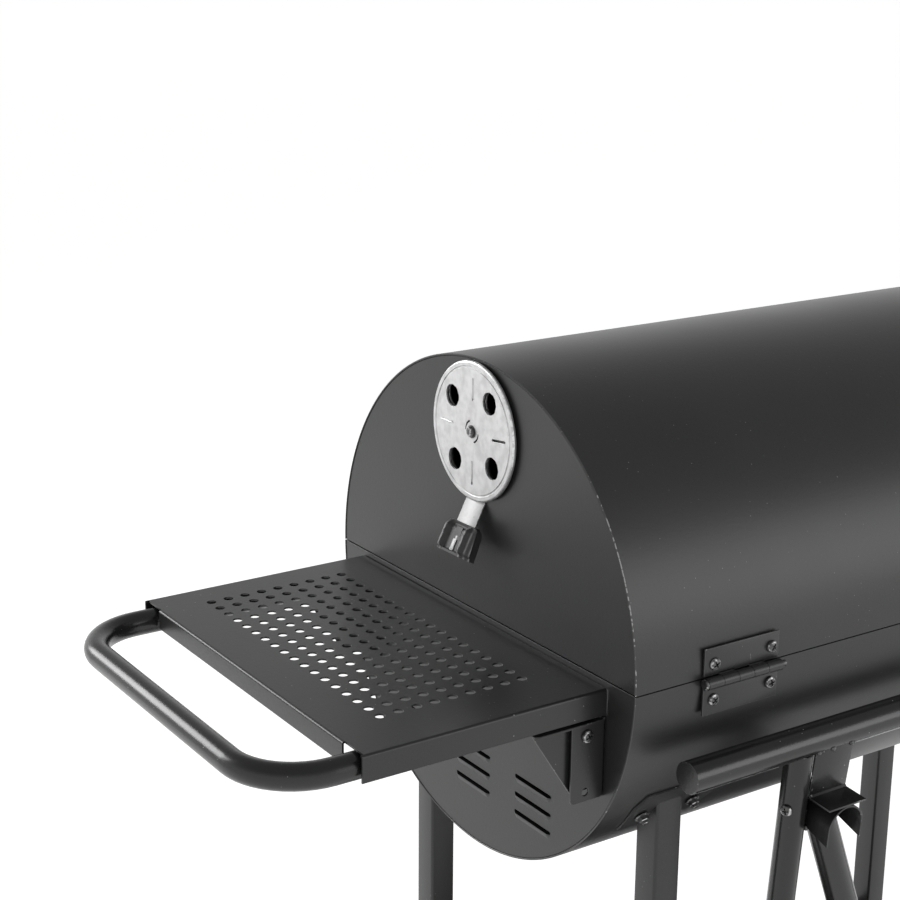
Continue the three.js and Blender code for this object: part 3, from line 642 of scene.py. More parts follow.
lid_end = new_mesh()
plate(lid_end, half_disc(barrel_radius, main_upper),
      hole_ring(damper_z - axis_z, 36, 12, 4, math.radians(45) + damper_turn),
      on_end(cap_x, axis_z), sheet, 0.45)
finish_piece("lid_table_end", lid_end, "lid", "black_paint", black_paint,
             "lid_end_table_side")
lid_far_end = new_mesh()
plate(lid_far_end, half_disc(barrel_radius, main_upper), [],
      on_end(-barrel_length + 0.6, axis_z, -1), sheet)
finish_piece("lid_far_end", lid_far_end, "lid", "black_paint", black_paint,
             "lid_end_firebox_side")


# ---- Damper cover: a zinc-plated pressed disc with a rolled rim, four smoke holes, pressed
# ribs and a slot, riveted to the lid end over the turning shutter.
def zinc_plate(name, tone):
    zinc = Finish(name, metallic=0.85, specular_ior_level=0.5)
    cloudy = zinc.noise(110, 6)
    streaks = zinc.noise(34, 4, zinc.stretched(1, 3, 1.2))
    shades = zinc.mix(cloudy.between(0.30, 0.66), grey(tone * 0.84), grey(tone * 1.06))
    streaked = zinc.mix(streaks.between(0.52, 0.7) * 0.5, shades, grey(tone * 0.72))
    stain = zinc.specks(140, 0.0016, 0.15)
    edge = zinc.worn_edge(0.55)
    zinc.give("Base Color", zinc.mix(edge * 0.5, zinc.mix(stain * 0.5, streaked,
                                                          grey(tone * 0.45)), grey(0.95)))
    zinc.give("Roughness", 0.36 + cloudy * 0.22 - edge * 0.12)
    zinc.bump(cloudy + zinc.noise(700, 2) * 0.4, 0.00012, 0.6)
    return zinc.material


bright_zinc = zinc_plate("zinc_plate", 0.60)


def lathe(mesh, profile, place, sides=48, edges=()):
    """Spins (radius, height) points about the height axis; edges names marked rows."""
    rows = []
    for radius, height in profile:
        if radius < 1e-6:
            rows.append([mesh.verts.new(place @ Vector((0, 0, height)))] * sides)
        else:
            rows.append([mesh.verts.new(place @ Vector((
                radius * math.cos(math.tau * k / sides),
                radius * math.sin(math.tau * k / sides), height))) for k in range(sides)])
    for i, (first, second) in enumerate(zip(rows, rows[1:])):
        skin(mesh, first, second, edge=1.0 if i in edges else 0.0)
    if profile[0] == profile[-1]:
        bmesh.ops.remove_doubles(mesh, verts=rows[0] + rows[-1], dist=1e-5)


def aim(spot, direction, turn=0.0):
    """A frame at a spot whose height axis points in a direction."""
    frame_turn = Vector(direction).to_track_quat("Z", "Y").to_matrix().to_4x4()
    return Matrix.Translation(spot) @ frame_turn @ Matrix.Rotation(turn, 4, "Z")


cover_face = 4.4
on_cover = on_end(cover_face, damper_z)
cover_holes = hole_ring(0, 36, 9, 4, math.radians(45) + damper_turn)
cover_holes.append(long_hole(36.4, 0.8, 9.3, 0.95, 4, 0.127))
cover_holes += [round_hole(0.8, -42, 1.3, 10), round_hole(0.6, 26, 0.9, 10),
                round_hole(-27, 1.5, 0.9, 10)]
for start in (1.9, 5.0):
    ring = arc(9.2, start, start + 1.25, 8) + arc(8.0, start + 1.25, start, 8)
    cover_holes.append(ring)
cover = new_mesh()
plate(cover, round_hole(0, 0, 50.4, 96), cover_holes, on_cover, 1.2, 0.25)
along_x = Matrix.Rotation(math.pi / 2, 4, "Y")
rim_place = Matrix.Translation((0, 0, damper_z)) @ along_x
lathe(cover, [(50.2, cover_face - 0.1), (50.6, cover_face - 0.55), (51.4, cover_face - 0.6),
              (52.0, cover_face - 0.1), (54.6, cover_face - 0.15), (55.5, cover_face - 0.6),
              (56, cover_face - 1.3), (56, 1.7), (55, 1.7), (54.6, cover_face - 1.4),
              (50.2, cover_face - 1.3), (50.2, cover_face - 0.1)],
      rim_place, 96, edges=(4, 5))
rib = new_mesh()
rib_rows = []
for t, half in ((0, 0.1), (0.12, 0.75), (0.5, 0.9), (0.88, 0.75), (1, 0.1)):
    rib_rows.append([rib.verts.new((17 * t - 8.5, y * half, z)) for y, z in
                     ((-1.3, -0.1), (-0.7, 0.55), (0, 0.75), (0.7, 0.55), (1.3, -0.1))])
for first, second in zip(rib_rows, rib_rows[1:]):
    skin(rib, first, second)
rib.faces.new(rib_rows[0])
rib.faces.new(rib_rows[-1])
rib_cloud = [((cover_face, y, damper_z + z), (1, 0, 0), turn, 1) for y, z, turn in
             ((0.8, -32, 0), (0.6, 34.5, 0), (-34.5, 1.2, math.pi / 2))]
merge(cover, copy_part(rib, rib_cloud, bright_zinc))
finish_piece("damper_disc", cover, "lid", "zinc_plate", bright_zinc, "damper_cover",
             crease=25)

# ---- Damper shutter: a thinner, duller zinc disc behind the cover, with its own four holes
# and a strap lever bent out from under the rim. It turns on the pivot bolt.
shutter_face = 1.1
shutter = new_mesh()
plate(shutter, round_hole(0, 0, 52, 96),
      hole_ring(0, 36, 10.2, 4, math.radians(43.4) + damper_turn) + [round_hole(0, 0, 3.3, 16)],
      on_end(shutter_face, damper_z), 1.2, 0.2)
knee_z = damper_z - 57
lever_slope = math.radians(27.8)
lever_half = 12.5
lever_turn = (Matrix.Translation((0, 0, damper_z))
              @ Matrix.Rotation(math.radians(1.2), 4, "X")
              @ Matrix.Translation((0, 0, -damper_z)))


def down_lever(along, across, out):
    """A point given by how far it lies down the lever, across it and out from it."""
    x = -0.1 + along * math.sin(lever_slope) + out * math.cos(lever_slope)
    z = knee_z - along * math.cos(lever_slope) + out * math.sin(lever_slope)
    return lever_turn @ Vector((x, across, z))


strap = new_mesh()
strap_rows = []
for along in (-7, -1.5, 0, 1.5, 20, 40, 42):
    half = lever_half - (1.2 if along == 42 else 0)
    if along < 0:
        levels = [lever_turn @ Vector((x, y, knee_z - along)) for x, y in
                  ((-0.1, -half), (1.1, -half), (1.1, half), (-0.1, half))]
    else:
        levels = [down_lever(along, y, out) for out, y in
                  ((0, -half), (1.2, -half), (1.2, half), (0, half))]
    strap_rows.append([strap.verts.new(p) for p in levels])
for first, second in zip(strap_rows, strap_rows[1:]):
    skin(strap, first, second)
strap.faces.new(strap_rows[0])
strap.faces.new(strap_rows[-1])
bmesh.ops.recalc_face_normals(strap, faces=strap.faces)
soften(strap, 0.3, 2, 60)
merge(shutter, strap)
dull_zinc = zinc_plate("dull_zinc_plate", 0.30)
finish_piece("damper_slide", shutter, "damper", "zinc_plate", dull_zinc, "damper_shutter")


# ---- Damper grip: a moulded black plastic handle pressed over the lever's end, with two
# raised ridges, a channel with a window and a small metal tongue.
def moulded_black(name, tone):
    plastic = Finish(name, specular_ior_level=0.5)
    cloudy = plastic.noise(40, 3)
    scuffs = plastic.noise(180, 3, plastic.stretched(1, 3, 0.6)).between(0.6, 0.72)
    edge = plastic.worn_edge(0.62)
    shades = plastic.mix(cloudy, grey(tone * 0.8), grey(tone * 1.25))
    # Worn edges and scuffs are painted lighter. The grip's ridge tops are marked as edge too, and
    # there this lightening is a painted highlight.
    plastic.give("Base Color", plastic.mix(edge * 0.75 + scuffs * 0.12, shades, grey(0.20)))
    plastic.give("Roughness", 0.42 + cloudy * 0.14)
    plastic.bump(plastic.noise(900, 2), 0.0001, 0.5)
    return plastic.material


black_plastic = moulded_black("black_plastic", 0.024)
grip_from, grip_to = 20, 46


def grip_reach(along):
    """Half the grip's width, which narrows and rounds off towards its top."""
    t = (along - grip_from) / (grip_to - grip_from)
    round_off = 1 - math.sqrt(max(0.0, 1 - (1 - min(1.0, t / 0.2)) ** 2))
    return 19.6 + 3.2 * t - 4.5 * round_off


def grip_height(along, across):
    """How far the grip's face stands out from the lever."""
    t = (along - grip_from) / (grip_to - grip_from)
    crown = 3.0 + 3.4 * ease(t, -0.05, 0.25) - 1.2 * ease(t, 0.75, 1.2)
    left_side = 1 - 0.45 * ease(-across, 18, 21.5)
    right_side = 1 - 0.28 * ease(across, 12.2, 15) - 0.25 * ease(across, 17, 21)
    ridges = sum(ease(2.4 - abs(across - at), 0, 1.5) for at in (-15.5, 11))
    channel = ease(across, -13.4, -11.8) * ease(-across, -8.8, -7.2)
    lip = ease(t, 0.87, 0.93)
    return max(crown * left_side * right_side
               + (1.3 * ridges - 2.6 * channel) * (1 - lip) * ease(t, 0, 0.12) - lip * 1.2, 1.6)


grip = new_mesh()
grip_steps, grip_columns = 26, 60
grip_rows, back_rows = [], []
for i in range(grip_steps + 1):
    along = grip_from + (grip_to - grip_from) * i / grip_steps
    reach = grip_reach(along)
    across = [reach * (2 * k / grip_columns - 1) for k in range(grip_columns + 1)]
    depth = -3.6 + 1.8 * (1 - ease(i / grip_steps, 0, 0.3))
    grip_rows.append([grip.verts.new(down_lever(along, side, grip_height(along, side)))
                      for side in across])
    back_rows.append([grip.verts.new(down_lever(along, side, depth)) for side in across])
for rows in (grip_rows, back_rows):
    for first, second in zip(rows, rows[1:]):
        skin(grip, first, second, closed=False)
for get in (lambda rows: rows[0], lambda rows: rows[-1],
            lambda rows: [row[0] for row in rows], lambda rows: [row[-1] for row in rows]):
    skin(grip, get(grip_rows), get(back_rows), closed=False)
ridge_highlight_mark = grip.faces.layers.float["edge"]
# The tops of the two ridges are marked as edge so that they are painted lighter. This is a
# painted highlight on the ridges, broken up by the wear noise.
for face in grip.faces:
    middle = lever_turn.inverted() @ face.calc_center_median()
    if min(abs(middle.y + 15.5), abs(middle.y - 11)) < 1.0 and middle.x > 6:
        face[ridge_highlight_mark] = 1.0
finish_piece("lever_grip", grip, "damper", "black_plastic", black_plastic, "damper_grip",
             crease=40)

# The window, a recess in the channel, is drawn as a near-black block, which is painted shade; the
# tongue is a bent strip of the lever's zinc.
tongue = new_mesh()
for along0, along1, half, low, high in ((34, 43.4, 2.3, 2.2, 4.6), (29.5, 35, 1.3, 2.2, 3.9)):
    corners = [tongue.verts.new(down_lever(a, y - 1, o)) for o in (low, high)
               for a, y in ((along0, -half), (along1, -half), (along1, half),
                            (along0, half))]
    skin(tongue, corners[:4], corners[4:])
    tongue.faces.new(corners[:4])
    tongue.faces.new(corners[4:])
bmesh.ops.recalc_face_normals(tongue, faces=tongue.faces)
soften(tongue, 0.35)
finish_piece("lever_tongue", tongue, "damper", "zinc_plate", dull_zinc)
# Painted shade: a near-black block stands in for the shade inside the window.
window = new_mesh()
corners = [window.verts.new(down_lever(a, y, o)) for o in (2.0, 4.0)
           for a, y in ((23.8, -5.2), (31.2, -5.2), (31.2, 2.8), (23.8, 2.8))]
skin(window, corners[:4], corners[4:])
window.faces.new(corners[:4])
window.faces.new(corners[4:])
window_shade_black = moulded_black("window_shade_black", 0.004)
finish_piece("lever_window", window, "damper", "black_plastic", window_shade_black)


# ---- Damper pivot and the small screws: dark zinc-plated steel. Pan heads have a cross
# recess; the pivot has a domed head on a washer.
def screw_steel(name, tone):
    steel = Finish(name, metallic=0.9)
    mottle = steel.noise(420, 3)
    edge = steel.worn_edge(0.55)
    shades = steel.mix(mottle.between(0.3, 0.7), grey(tone * 0.7), grey(tone * 1.3))
    steel.give("Base Color", steel.mix(edge * 0.5, shades, grey(0.8)))
    steel.give("Roughness", 0.28 + mottle * 0.2)
    steel.bump(mottle, 0.00008, 0.5)
    return steel.material


dark_zinc = screw_steel("dark_zinc", 0.10)
pivot = new_mesh()
lathe(pivot, [(0, -0.2), (3, -0.2), (3, cover_face + 0.05), (5.2, cover_face + 0.05),
              (5.2, cover_face + 0.5), (4.3, cover_face + 0.6), (4.2, cover_face + 1.7),
              (3.5, cover_face + 2.8), (2.0, cover_face + 3.4), (0, cover_face + 3.5)],
      rim_place, 32, edges=(6, 7))
finish_piece("damper_bolt", pivot, "lid", "dark_zinc", dark_zinc, "damper_pivot", crease=30)


def cross_head(radius):
    """A pan head with a cross recess, its seat at height 0."""
    head = new_mesh()
    lathe(head, [(0, -1), (radius * 0.45, -1), (radius * 0.5, 0), (radius, 0),
                 (radius, radius * 0.22), (radius * 0.9, radius * 0.42),
                 (radius * 0.68, radius * 0.56), (radius * 0.36, radius * 0.63),
                 (0, radius * 0.65)], Matrix.Identity(4), 32, edges=(4, 5))
    bmesh.ops.recalc_face_normals(head, faces=head.faces)
    recess = new_mesh()
    for quarter in (0, 1):
        arm = [recess.verts.new(Matrix.Rotation(quarter * math.pi / 2, 3, "Z")
                                @ Vector((x * radius * reach, y * radius * 0.14, z * radius)))
               for z, reach in ((0.26, 0.36), (0.8, 0.72))
               for x, y in ((-1, -1), (1, -1), (1, 1), (-1, 1))]
        skin(recess, arm[:4], arm[4:])
        recess.faces.new(arm[:4])
        recess.faces.new(arm[4:])
    bmesh.ops.recalc_face_normals(recess, faces=recess.faces)
    solids = []
    for solid in (head, recess):
        data = bpy.data.meshes.new("solid")
        solid.to_mesh(data)
        solid.free()
        solids.append(bpy.data.objects.new("solid", data))
        scene.collection.objects.link(solids[-1])
    cutter = solids[0].modifiers.new("recess", "BOOLEAN")
    cutter.operation = "DIFFERENCE"
    cutter.solver = "EXACT"
    cutter.use_self = True
    cutter.object = solids[1]
    depsgraph = bpy.context.evaluated_depsgraph_get()
    cut = bpy.data.meshes.new_from_object(solids[0].evaluated_get(depsgraph))
    result = new_mesh()
    result.from_mesh(cut)
    for solid in solids:
        bpy.data.objects.remove(solid)
    return result


# ---- Lid hinges: butt hinges of painted sheet, each with two leaves rolled into knuckles on
# a pin and four cross-head screws.
hinge_y = barrel_radius + 5
hinge_z = axis_z - 4.7
hinge_width = 73
leaf_height = 22
knuckle = 4.5


def hinge_leaf(mesh, centre_x, pin_y, pin_z, way, owned):
    """A leaf above (way 1) or below (way -1) its pin, with the knuckles that it owns."""
    start = centre_x - hinge_width / 2
    back = pin_y - knuckle + 0.1
    near, far = pin_z + way * (knuckle + 0.3), pin_z + way * (knuckle + leaf_height)
    low, high = sorted((near, far))
    block(mesh, (start, back, low), (start + hinge_width, back + 1.8, high), 0.45)
    pitch = hinge_width / 5
    for index in owned:
        x0 = start + index * pitch + 0.2
        x1 = x0 + pitch - 0.4
        roll = [(pin_y + knuckle * math.cos(a), pin_z + way * knuckle * math.sin(a))
                for a in (math.radians(d) for d in range(-165, 166, 15))]
        roll += [(back, pin_z + way * 2.2), (back, pin_z + way * 6),
                 (back + 1.8, pin_z + way * 6), (back + 1.8, pin_z + way * 4.4)]
        ordered = roll[:18] + [roll[-1], roll[-2], roll[-3], roll[-4]] + roll[20:23]
        sides = [[mesh.verts.new((x, y, z)) for y, z in ordered] for x in (x0, x1)]
        skin(mesh, sides[0], sides[1])
        mesh.faces.new(sides[0])
        mesh.faces.new(sides[1])


def hinge_screw_spots(centre_x, pin_y, pin_z):
    """Two screws in each leaf, as (point, facing, turn, size)."""
    face = pin_y - knuckle + 1.9
    spots = []
    for shift, height, turn in ((27, 13.6, 0.5), (-29, 15.2, 0.95), (27, -14.6, 0.65),
                                (-29, -13.6, 0.2)):
        spots.append(((centre_x + shift, face, pin_z + height), (0, 1, 0), turn, 1))
    return spots


scratched_paint = powder_coat("scratched_hinge_paint", 0.014, 0.36, 0.38, 0.4, 0.35)
hinge_centres = {"table_side": -98.4, "firebox_side": -barrel_length + 98.4}
lid_screws, stand_screws = [], []
for place, centre in hinge_centres.items():
    upper, lower, pin = new_mesh(), new_mesh(), new_mesh()
    hinge_leaf(upper, centre, hinge_y, hinge_z, 1, (1, 3))
    finish_piece(f"hinge_{place}_upper", upper, "lid", "black_paint", scratched_paint,
                 f"lid_hinge_{place}_upper_leaf")
    hinge_leaf(lower, centre, hinge_y, hinge_z, -1, (0, 2, 4))
    finish_piece(f"hinge_{place}_lower", lower, "stand", "black_paint", black_paint,
                 f"lid_hinge_{place}_lower_leaf")
    reach = hinge_width / 2
    lathe(pin, [(0, -reach - 5.6), (1.6, -reach - 5.5), (2.4, -reach - 4.8), (2.4, reach),
                (4.2, reach + 0.1), (4.2, reach + 0.9), (3.2, reach + 1.9),
                (0, reach + 2.3)], Matrix.Translation((centre, hinge_y, hinge_z)) @ along_x,
          20, edges=(5,))
    finish_piece(f"hinge_{place}_pin", pin, "stand", "dark_zinc", dark_zinc,
                 f"lid_hinge_{place}_pin")
    spots = hinge_screw_spots(centre, hinge_y, hinge_z)
    lid_screws += spots[:2]
    stand_screws += spots[2:]
merged = copy_part(cross_head(4.8), lid_screws, dark_zinc)
finish_piece("lid_hinge_screws", merged, "lid", "dark_zinc", dark_zinc, crease=30)

# ---- Side table: one folded sheet with a grid of punched holes, skirts on three sides, and
# a triangular gusset with a turned-out lip welded at each end.
punched = Growth("punched_sheet", {"Columns": "Int", "Rows": "Int", "Pitch": "Vector",
                                   "Middle": "Vector", "Hole radius": "Float",
                                   "Hole sides": "Int", "Material": "Material"})
pitch_parts = punched.group.nodes.new("ShaderNodeSeparateXYZ")
punched.group.links.new(punched.given["Pitch"], pitch_parts.inputs[0])


def grid_size(count, axis):
    steps = punched.node("ShaderNodeMath", {"operation": "SUBTRACT"},
                         {0: punched.given[count], 1: 1.0})
    return punched.node("ShaderNodeMath", {"operation": "MULTIPLY"},
                        {0: steps, 1: pitch_parts.outputs[axis]})


hole_points = punched.node("GeometryNodeMeshGrid", None, {
    "Size X": grid_size("Columns", 0), "Size Y": grid_size("Rows", 1),
    "Vertices X": punched.given["Columns"], "Vertices Y": punched.given["Rows"]})
placed_points = punched.node("GeometryNodeTransform", None, {
    "Geometry": hole_points, "Translation": punched.given["Middle"]})
punch = punched.node("GeometryNodeMeshCylinder", None, {
    "Vertices": punched.given["Hole sides"], "Radius": punched.given["Hole radius"],
    "Depth": 12.0})
punches = punched.node("GeometryNodeRealizeInstances", None, {
    "Geometry": punched.node("GeometryNodeInstanceOnPoints", None, {
        "Points": placed_points, "Instance": punch})})
punched.end(punched.node("GeometryNodeMeshBoolean",
                         {"operation": "DIFFERENCE", "solver": "EXACT"},
                         {"Mesh 1": punched.given["Geometry"], "Mesh 2": punches}))

table_high = node_box("side_table")[1]
table_top = table_high.z
table_reach = table_high.x
table_half = table_high.y
fold = 2.2
blank = new_mesh()
block(blank, (0.4, -table_half + fold, table_top - sheet),
      (table_reach - fold, table_half - fold, table_top), 0)
blank_data = bpy.data.meshes.new("blank")
blank.to_mesh(blank_data)
blank.free()
columns, rows_of_holes, pitch_x, pitch_y = 9, 18, 15.3, 15.5
table = punched.run(blank_data, Columns=columns, Rows=rows_of_holes,
                    Pitch=(pitch_x, pitch_y, 0.0), Material=black_paint,
                    Middle=(41.7 + (columns - 1) * pitch_x / 2, -8.0, table_top),
                    **{"Hole radius": 3.95, "Hole sides": 24})


def fold_section(drop):
    """A sheet turned down through a rounded bend, as (out, up) points from the bend."""
    outer = [(fold * math.sin(a), fold * math.cos(a) - fold) for a in
             (math.radians(d) for d in range(0, 91, 15))]
    inner_radius = fold - sheet
    inner = [(inner_radius * math.sin(a), inner_radius * math.cos(a) - fold) for a in
             (math.radians(d) for d in range(90, -1, -30))]
    return (outer + [(fold, 0.4 - drop), (fold - 0.4, -drop), (fold - sheet + 0.4, -drop),
                     (fold - sheet, 0.4 - drop)] + inner)


def run_section(mesh, section, place, start, end):
    """Carries a flat section from one distance to another, closed at both ends."""
    rings = [[mesh.verts.new(place(at, u, v)) for u, v in section] for at in (start, end)]
    skin(mesh, rings[0], rings[1])
    mesh.faces.new(rings[0])
    mesh.faces.new(rings[1])


skirt, outer_skirt = 20.7, 16.5
for side in (-1, 1):
    run_section(table, fold_section(skirt), lambda at, u, v: (
        at, side * (table_half - fold + u), table_top + v), 0.4, table_reach)
run_section(table, fold_section(outer_skirt), lambda at, u, v: (
    table_reach - fold + u, at, table_top + v), -146, 146)
gusset_low = axis_z - 87
for side in (-1, 1):
    lip_z = table_top - skirt - 2.2
    outline = [(64, table_top - 2), (64, lip_z), (27, gusset_low), (6, gusset_low),
               (6, table_top - 2)]
    plate(table, outline, [], lambda u, v, w: (u, side * (166.75 - w), v), sheet, 0.35)
    lip = [(3, 0), (64, 0), (64, 5.5), (61, 8), (3, 8)]
    plate(table, lip, [], lambda u, v, w: (u, side * (166 + v), lip_z - w), sheet, 0.4)
finish_piece("table_sheet", table, "stand", "black_paint",
             powder_coat("black_table_paint", 0.012, 0.34, 0.38, 1.0), "side_table")


# ---- Table handle: a steel tube 20 mm across, bent twice and painted satin black. Its ends run
# in under the table, where they are welded.
def rounded_path(points, bend, steps=8):
    """Points of a line whose corners are rounded to a radius."""
    path = [Vector(points[0])]
    for i in range(1, len(points) - 1):
        corner = Vector(points[i])
        back = (Vector(points[i - 1]) - corner).normalized()
        on = (Vector(points[i + 1]) - corner).normalized()
        half_turn = back.angle(on) / 2
        length = bend / math.tan(half_turn)
        centre = corner + (back + on).normalized() * bend / math.sin(half_turn)
        first, last = corner + back * length - centre, corner + on * length - centre
        sweep = first.angle(last)
        for k in range(steps + 1):
            t = k / steps
            path.append(centre + (first * math.sin((1 - t) * sweep)
                                  + last * math.sin(t * sweep)) / math.sin(sweep))
    path.append(Vector(points[-1]))
    return path


def follow(mesh, path, section, up=(0, 0, 1), rim=0.6):
    """Sweeps a (side, up) section along a path, with its ends closed and rounded."""
    upright = Vector(up)
    rings = []
    spots = [(p, 1.0) for p in path]
    if rim:
        first_way = (path[1] - path[0]).normalized() * rim
        last_way = (path[-2] - path[-1]).normalized() * rim
        widest = max(math.hypot(*s) for s in section)
        pinch = 1 - rim / widest
        spots = ([(path[0], pinch), (path[0] + first_way, 1.0)] + spots[1:-1]
                 + [(path[-1] + last_way, 1.0), (path[-1], pinch)])
    for i, (spot, scale) in enumerate(spots):
        before = spots[max(i - 1, 0)][0]
        after = spots[min(i + 1, len(spots) - 1)][0]
        ahead = (after - before).normalized()
        upright = (upright - ahead * upright.dot(ahead)).normalized()
        across = ahead.cross(upright)
        rings.append([mesh.verts.new(spot + across * u * scale + upright * v * scale)
                      for u, v in section])
    last = len(rings) - 2
    for i, (first, second) in enumerate(zip(rings, rings[1:])):
        skin(mesh, first, second, edge=1.0 if rim and i in (0, last) else 0.0)
    mesh.faces.new(rings[0])
    mesh.faces.new(rings[-1])


def round_section(radius, sides=32):
    return [(radius * math.cos(math.tau * k / sides), radius * math.sin(math.tau * k / sides))
            for k in range(sides)]


satin_tube = powder_coat("satin_tube_paint", 0.009, 0.24, 0.40, 1.0)
handle_z = axis_z - 19.8
handle = new_mesh()
follow(handle, rounded_path([(72, -159, handle_z), (274, -159, handle_z),
                             (274, 159, handle_z), (72, 159, handle_z)], 51, 12),
       round_section(10))
finish_piece("table_handle_tube", handle, "stand", "black_paint", satin_tube, "table_handle")


# ---- Table brackets: U-shaped brackets of folded sheet, welded to the barrel end. A pan bolt
# goes through the upper hole of each flange; the lower hole is empty.
def rounded_rectangle(u0, u1, v0, v1, radius, steps=5):
    corners = [((u1 - radius, v1 - radius), 0), ((u0 + radius, v1 - radius), 90),
               ((u0 + radius, v0 + radius), 180), ((u1 - radius, v0 + radius), 270)]
    return [p for centre, start in corners
            for p in arc(radius, math.radians(start), math.radians(start + 90), steps,
                         centre)]


bracket_bolts = []
for place, side in (("front", -1), ("rear", 1)):
    low, high = node_box(f"table_bracket_{place}")
    outer = max(abs(low.y), abs(high.y))
    inner = min(abs(low.y), abs(high.y))
    bracket = new_mesh()
    for y, depth in ((outer, high.x), (inner + sheet, 12)):
        flange = rounded_rectangle(low.x, depth, low.z, high.z, 3.5)
        holes = [round_hole(16.4, axis_z - drop, 3.2, 20) for drop in (41, 86)
                 if depth > 20]
        plate(bracket, flange, holes, lambda u, v, w: (u, side * (y - w), v), sheet, 0.4)
    block(bracket, (low.x, min(side * inner, side * outer), low.z),
          (low.x + sheet, max(side * inner, side * outer), high.z), 0.4)
    finish_piece(f"bracket_{place}", bracket, "stand", "black_paint", black_paint,
                 f"table_bracket_{place}")
    bracket_bolts.append(((16.4, side * outer, axis_z - 41), (0, side, 0), 0.4, 1.05))

# ---- Legs: square steel tube, cut at the top to the barrel's curve, with plastic feet at the
# table side and an axle through the firebox-side pair.
leg_paint = powder_coat("leg_paint", 0.013, 0.36)
leg_half = 12.5
leg_section = rounded_rectangle(-leg_half, leg_half, -leg_half, leg_half, 2.6, 4)
nut_spots = []
for end in ("table_side", "firebox_side"):
    for place, side in (("front", -1), ("rear", 1)):
        low, high = node_box(f"leg_{place}_{end}")
        x = (low.x + high.x) / 2
        y = (low.y + high.y) / 2
        leg = new_mesh()
        foot_ring, top_ring, rim_ring = [], [], []
        for u, v in leg_section:
            foot_ring.append(leg.verts.new((x + u, y + v, low.z)))
            curve = math.sqrt((barrel_radius + 0.3) ** 2 - (y + v) ** 2)
            top_ring.append(leg.verts.new((x + u, y + v, axis_z - curve)))
            rim_ring.append(leg.verts.new((x + u * 0.88, y + v * 1.0 - v * 0.12,
                                           axis_z - curve)))
        skin(leg, foot_ring, top_ring)
        skin(leg, top_ring, rim_ring, edge=0.5)
        leg.faces.new(foot_ring)
        leg.faces.new(rim_ring)
        finish_piece(f"leg_tube_{place}_{end}", leg, "stand", "black_paint", leg_paint,
                     f"leg_{place}_{end}")

        # The plate above the leg is bolted through the barrel on both sides of the leg.
        strip = new_mesh()
        reach_back, reach_on = -43, 38
        inner_r = barrel_radius + 0.3
        outline = [(reach_back, 42), (reach_back, 33), (reach_back + 8, 29.3),
                   (reach_on - 8, 29.3), (reach_on, 33), (reach_on, 42)]
        fine = []
        for a, b in zip(outline, outline[1:] + outline[:1]):
            fine += [(a[0] + (b[0] - a[0]) * k / 6, a[1] + (b[1] - a[1]) * k / 6)
                     for k in range(6)]

        def on_barrel(u, v, w):
            below = math.radians(v)
            radius = inner_r + sheet - w
            return (x + u, side * radius * math.cos(below), axis_z - radius * math.sin(below))

        strip_front = [strip.verts.new(on_barrel(u, v, 0)) for u, v in fine]
        strip_back = [strip.verts.new(on_barrel(u, v, sheet)) for u, v in fine]
        skin(strip, strip_front, strip_back, edge=1.0)
        for ring in (strip_front, strip_back):
            strip.faces.new(ring)
        bmesh.ops.triangulate(strip, faces=[f for f in strip.faces if len(f.verts) > 4])
        finish_piece(f"plate_{place}_{end}", strip, "stand", "black_paint", leg_paint,
                     f"leg_plate_{place}_{end}")
        for shift, below in ((23, 37.6), (-27, 37.4)):
            spot = Vector(on_barrel(shift, below, -0.1))
            out = Vector((0, spot.y, spot.z - axis_z)).normalized()
            nut_spots.append((spot, out, 0.3 + shift, 0.8))
        if end == "table_side":
            cup = new_mesh()
            follow(cup, [Vector((x, y, 0)), Vector((x, y, 28))],
                   rounded_rectangle(-14.5, 14.5, -14.5, 14.5, 3.5), up=(1, 0, 0), rim=1.2)
            finish_piece(f"foot_cup_{place}", cup, "stand", "black_plastic", black_plastic,
                         f"foot_{place}")

# Bolt end with a flanged hexagon nut, in dark zinc.
nut = new_mesh()
lathe(nut, [(0, 0), (7.5, 0), (7.5, 0.8), (5.4, 1.4), (5.4, 1.5), (0, 1.5)],
      Matrix.Identity(4), 24, edges=(1, 2))
lathe(nut, [(0, 1), (5.2, 1), (5.2, 4.6), (4.6, 5.4), (0, 5.4)], Matrix.Identity(4), 6,
      edges=(2,))
lathe(nut, [(0, 2), (2.9, 2), (2.9, 7.6), (2.4, 8.2), (0, 8.2)], Matrix.Identity(4), 16,
      edges=(2,))
finish_piece("plate_nuts", copy_part(nut, nut_spots, dark_zinc), "stand", "dark_zinc",
             dark_zinc, crease=30)

# ---- Axle and wheels: a steel axle with domed caps, and moulded wheels with ten spokes and
# a ribbed tread.
axle_low, axle_high = node_box("axle")
wheel_x = (axle_low.x + axle_high.x) / 2
axle_z = (axle_low.z + axle_high.z) / 2
along_y = Matrix.Rotation(-math.pi / 2, 4, "X")
axle_place = Matrix.Translation((wheel_x, 0, axle_z)) @ along_y
axle_end = axle_high.y - 5
axle = new_mesh()
lathe(axle, [(0, -axle_end - 5), (5, -axle_end - 4.6), (9, -axle_end - 3),
             (10, -axle_end - 1), (10, -axle_end), (6, -axle_end), (6, axle_end),
             (10, axle_end), (10, axle_end + 1), (9, axle_end + 3), (5, axle_end + 4.6),
             (0, axle_end + 5)], axle_place, 32)
finish_piece("axle_rod", axle, "stand", "dark_zinc", dark_zinc, "axle")


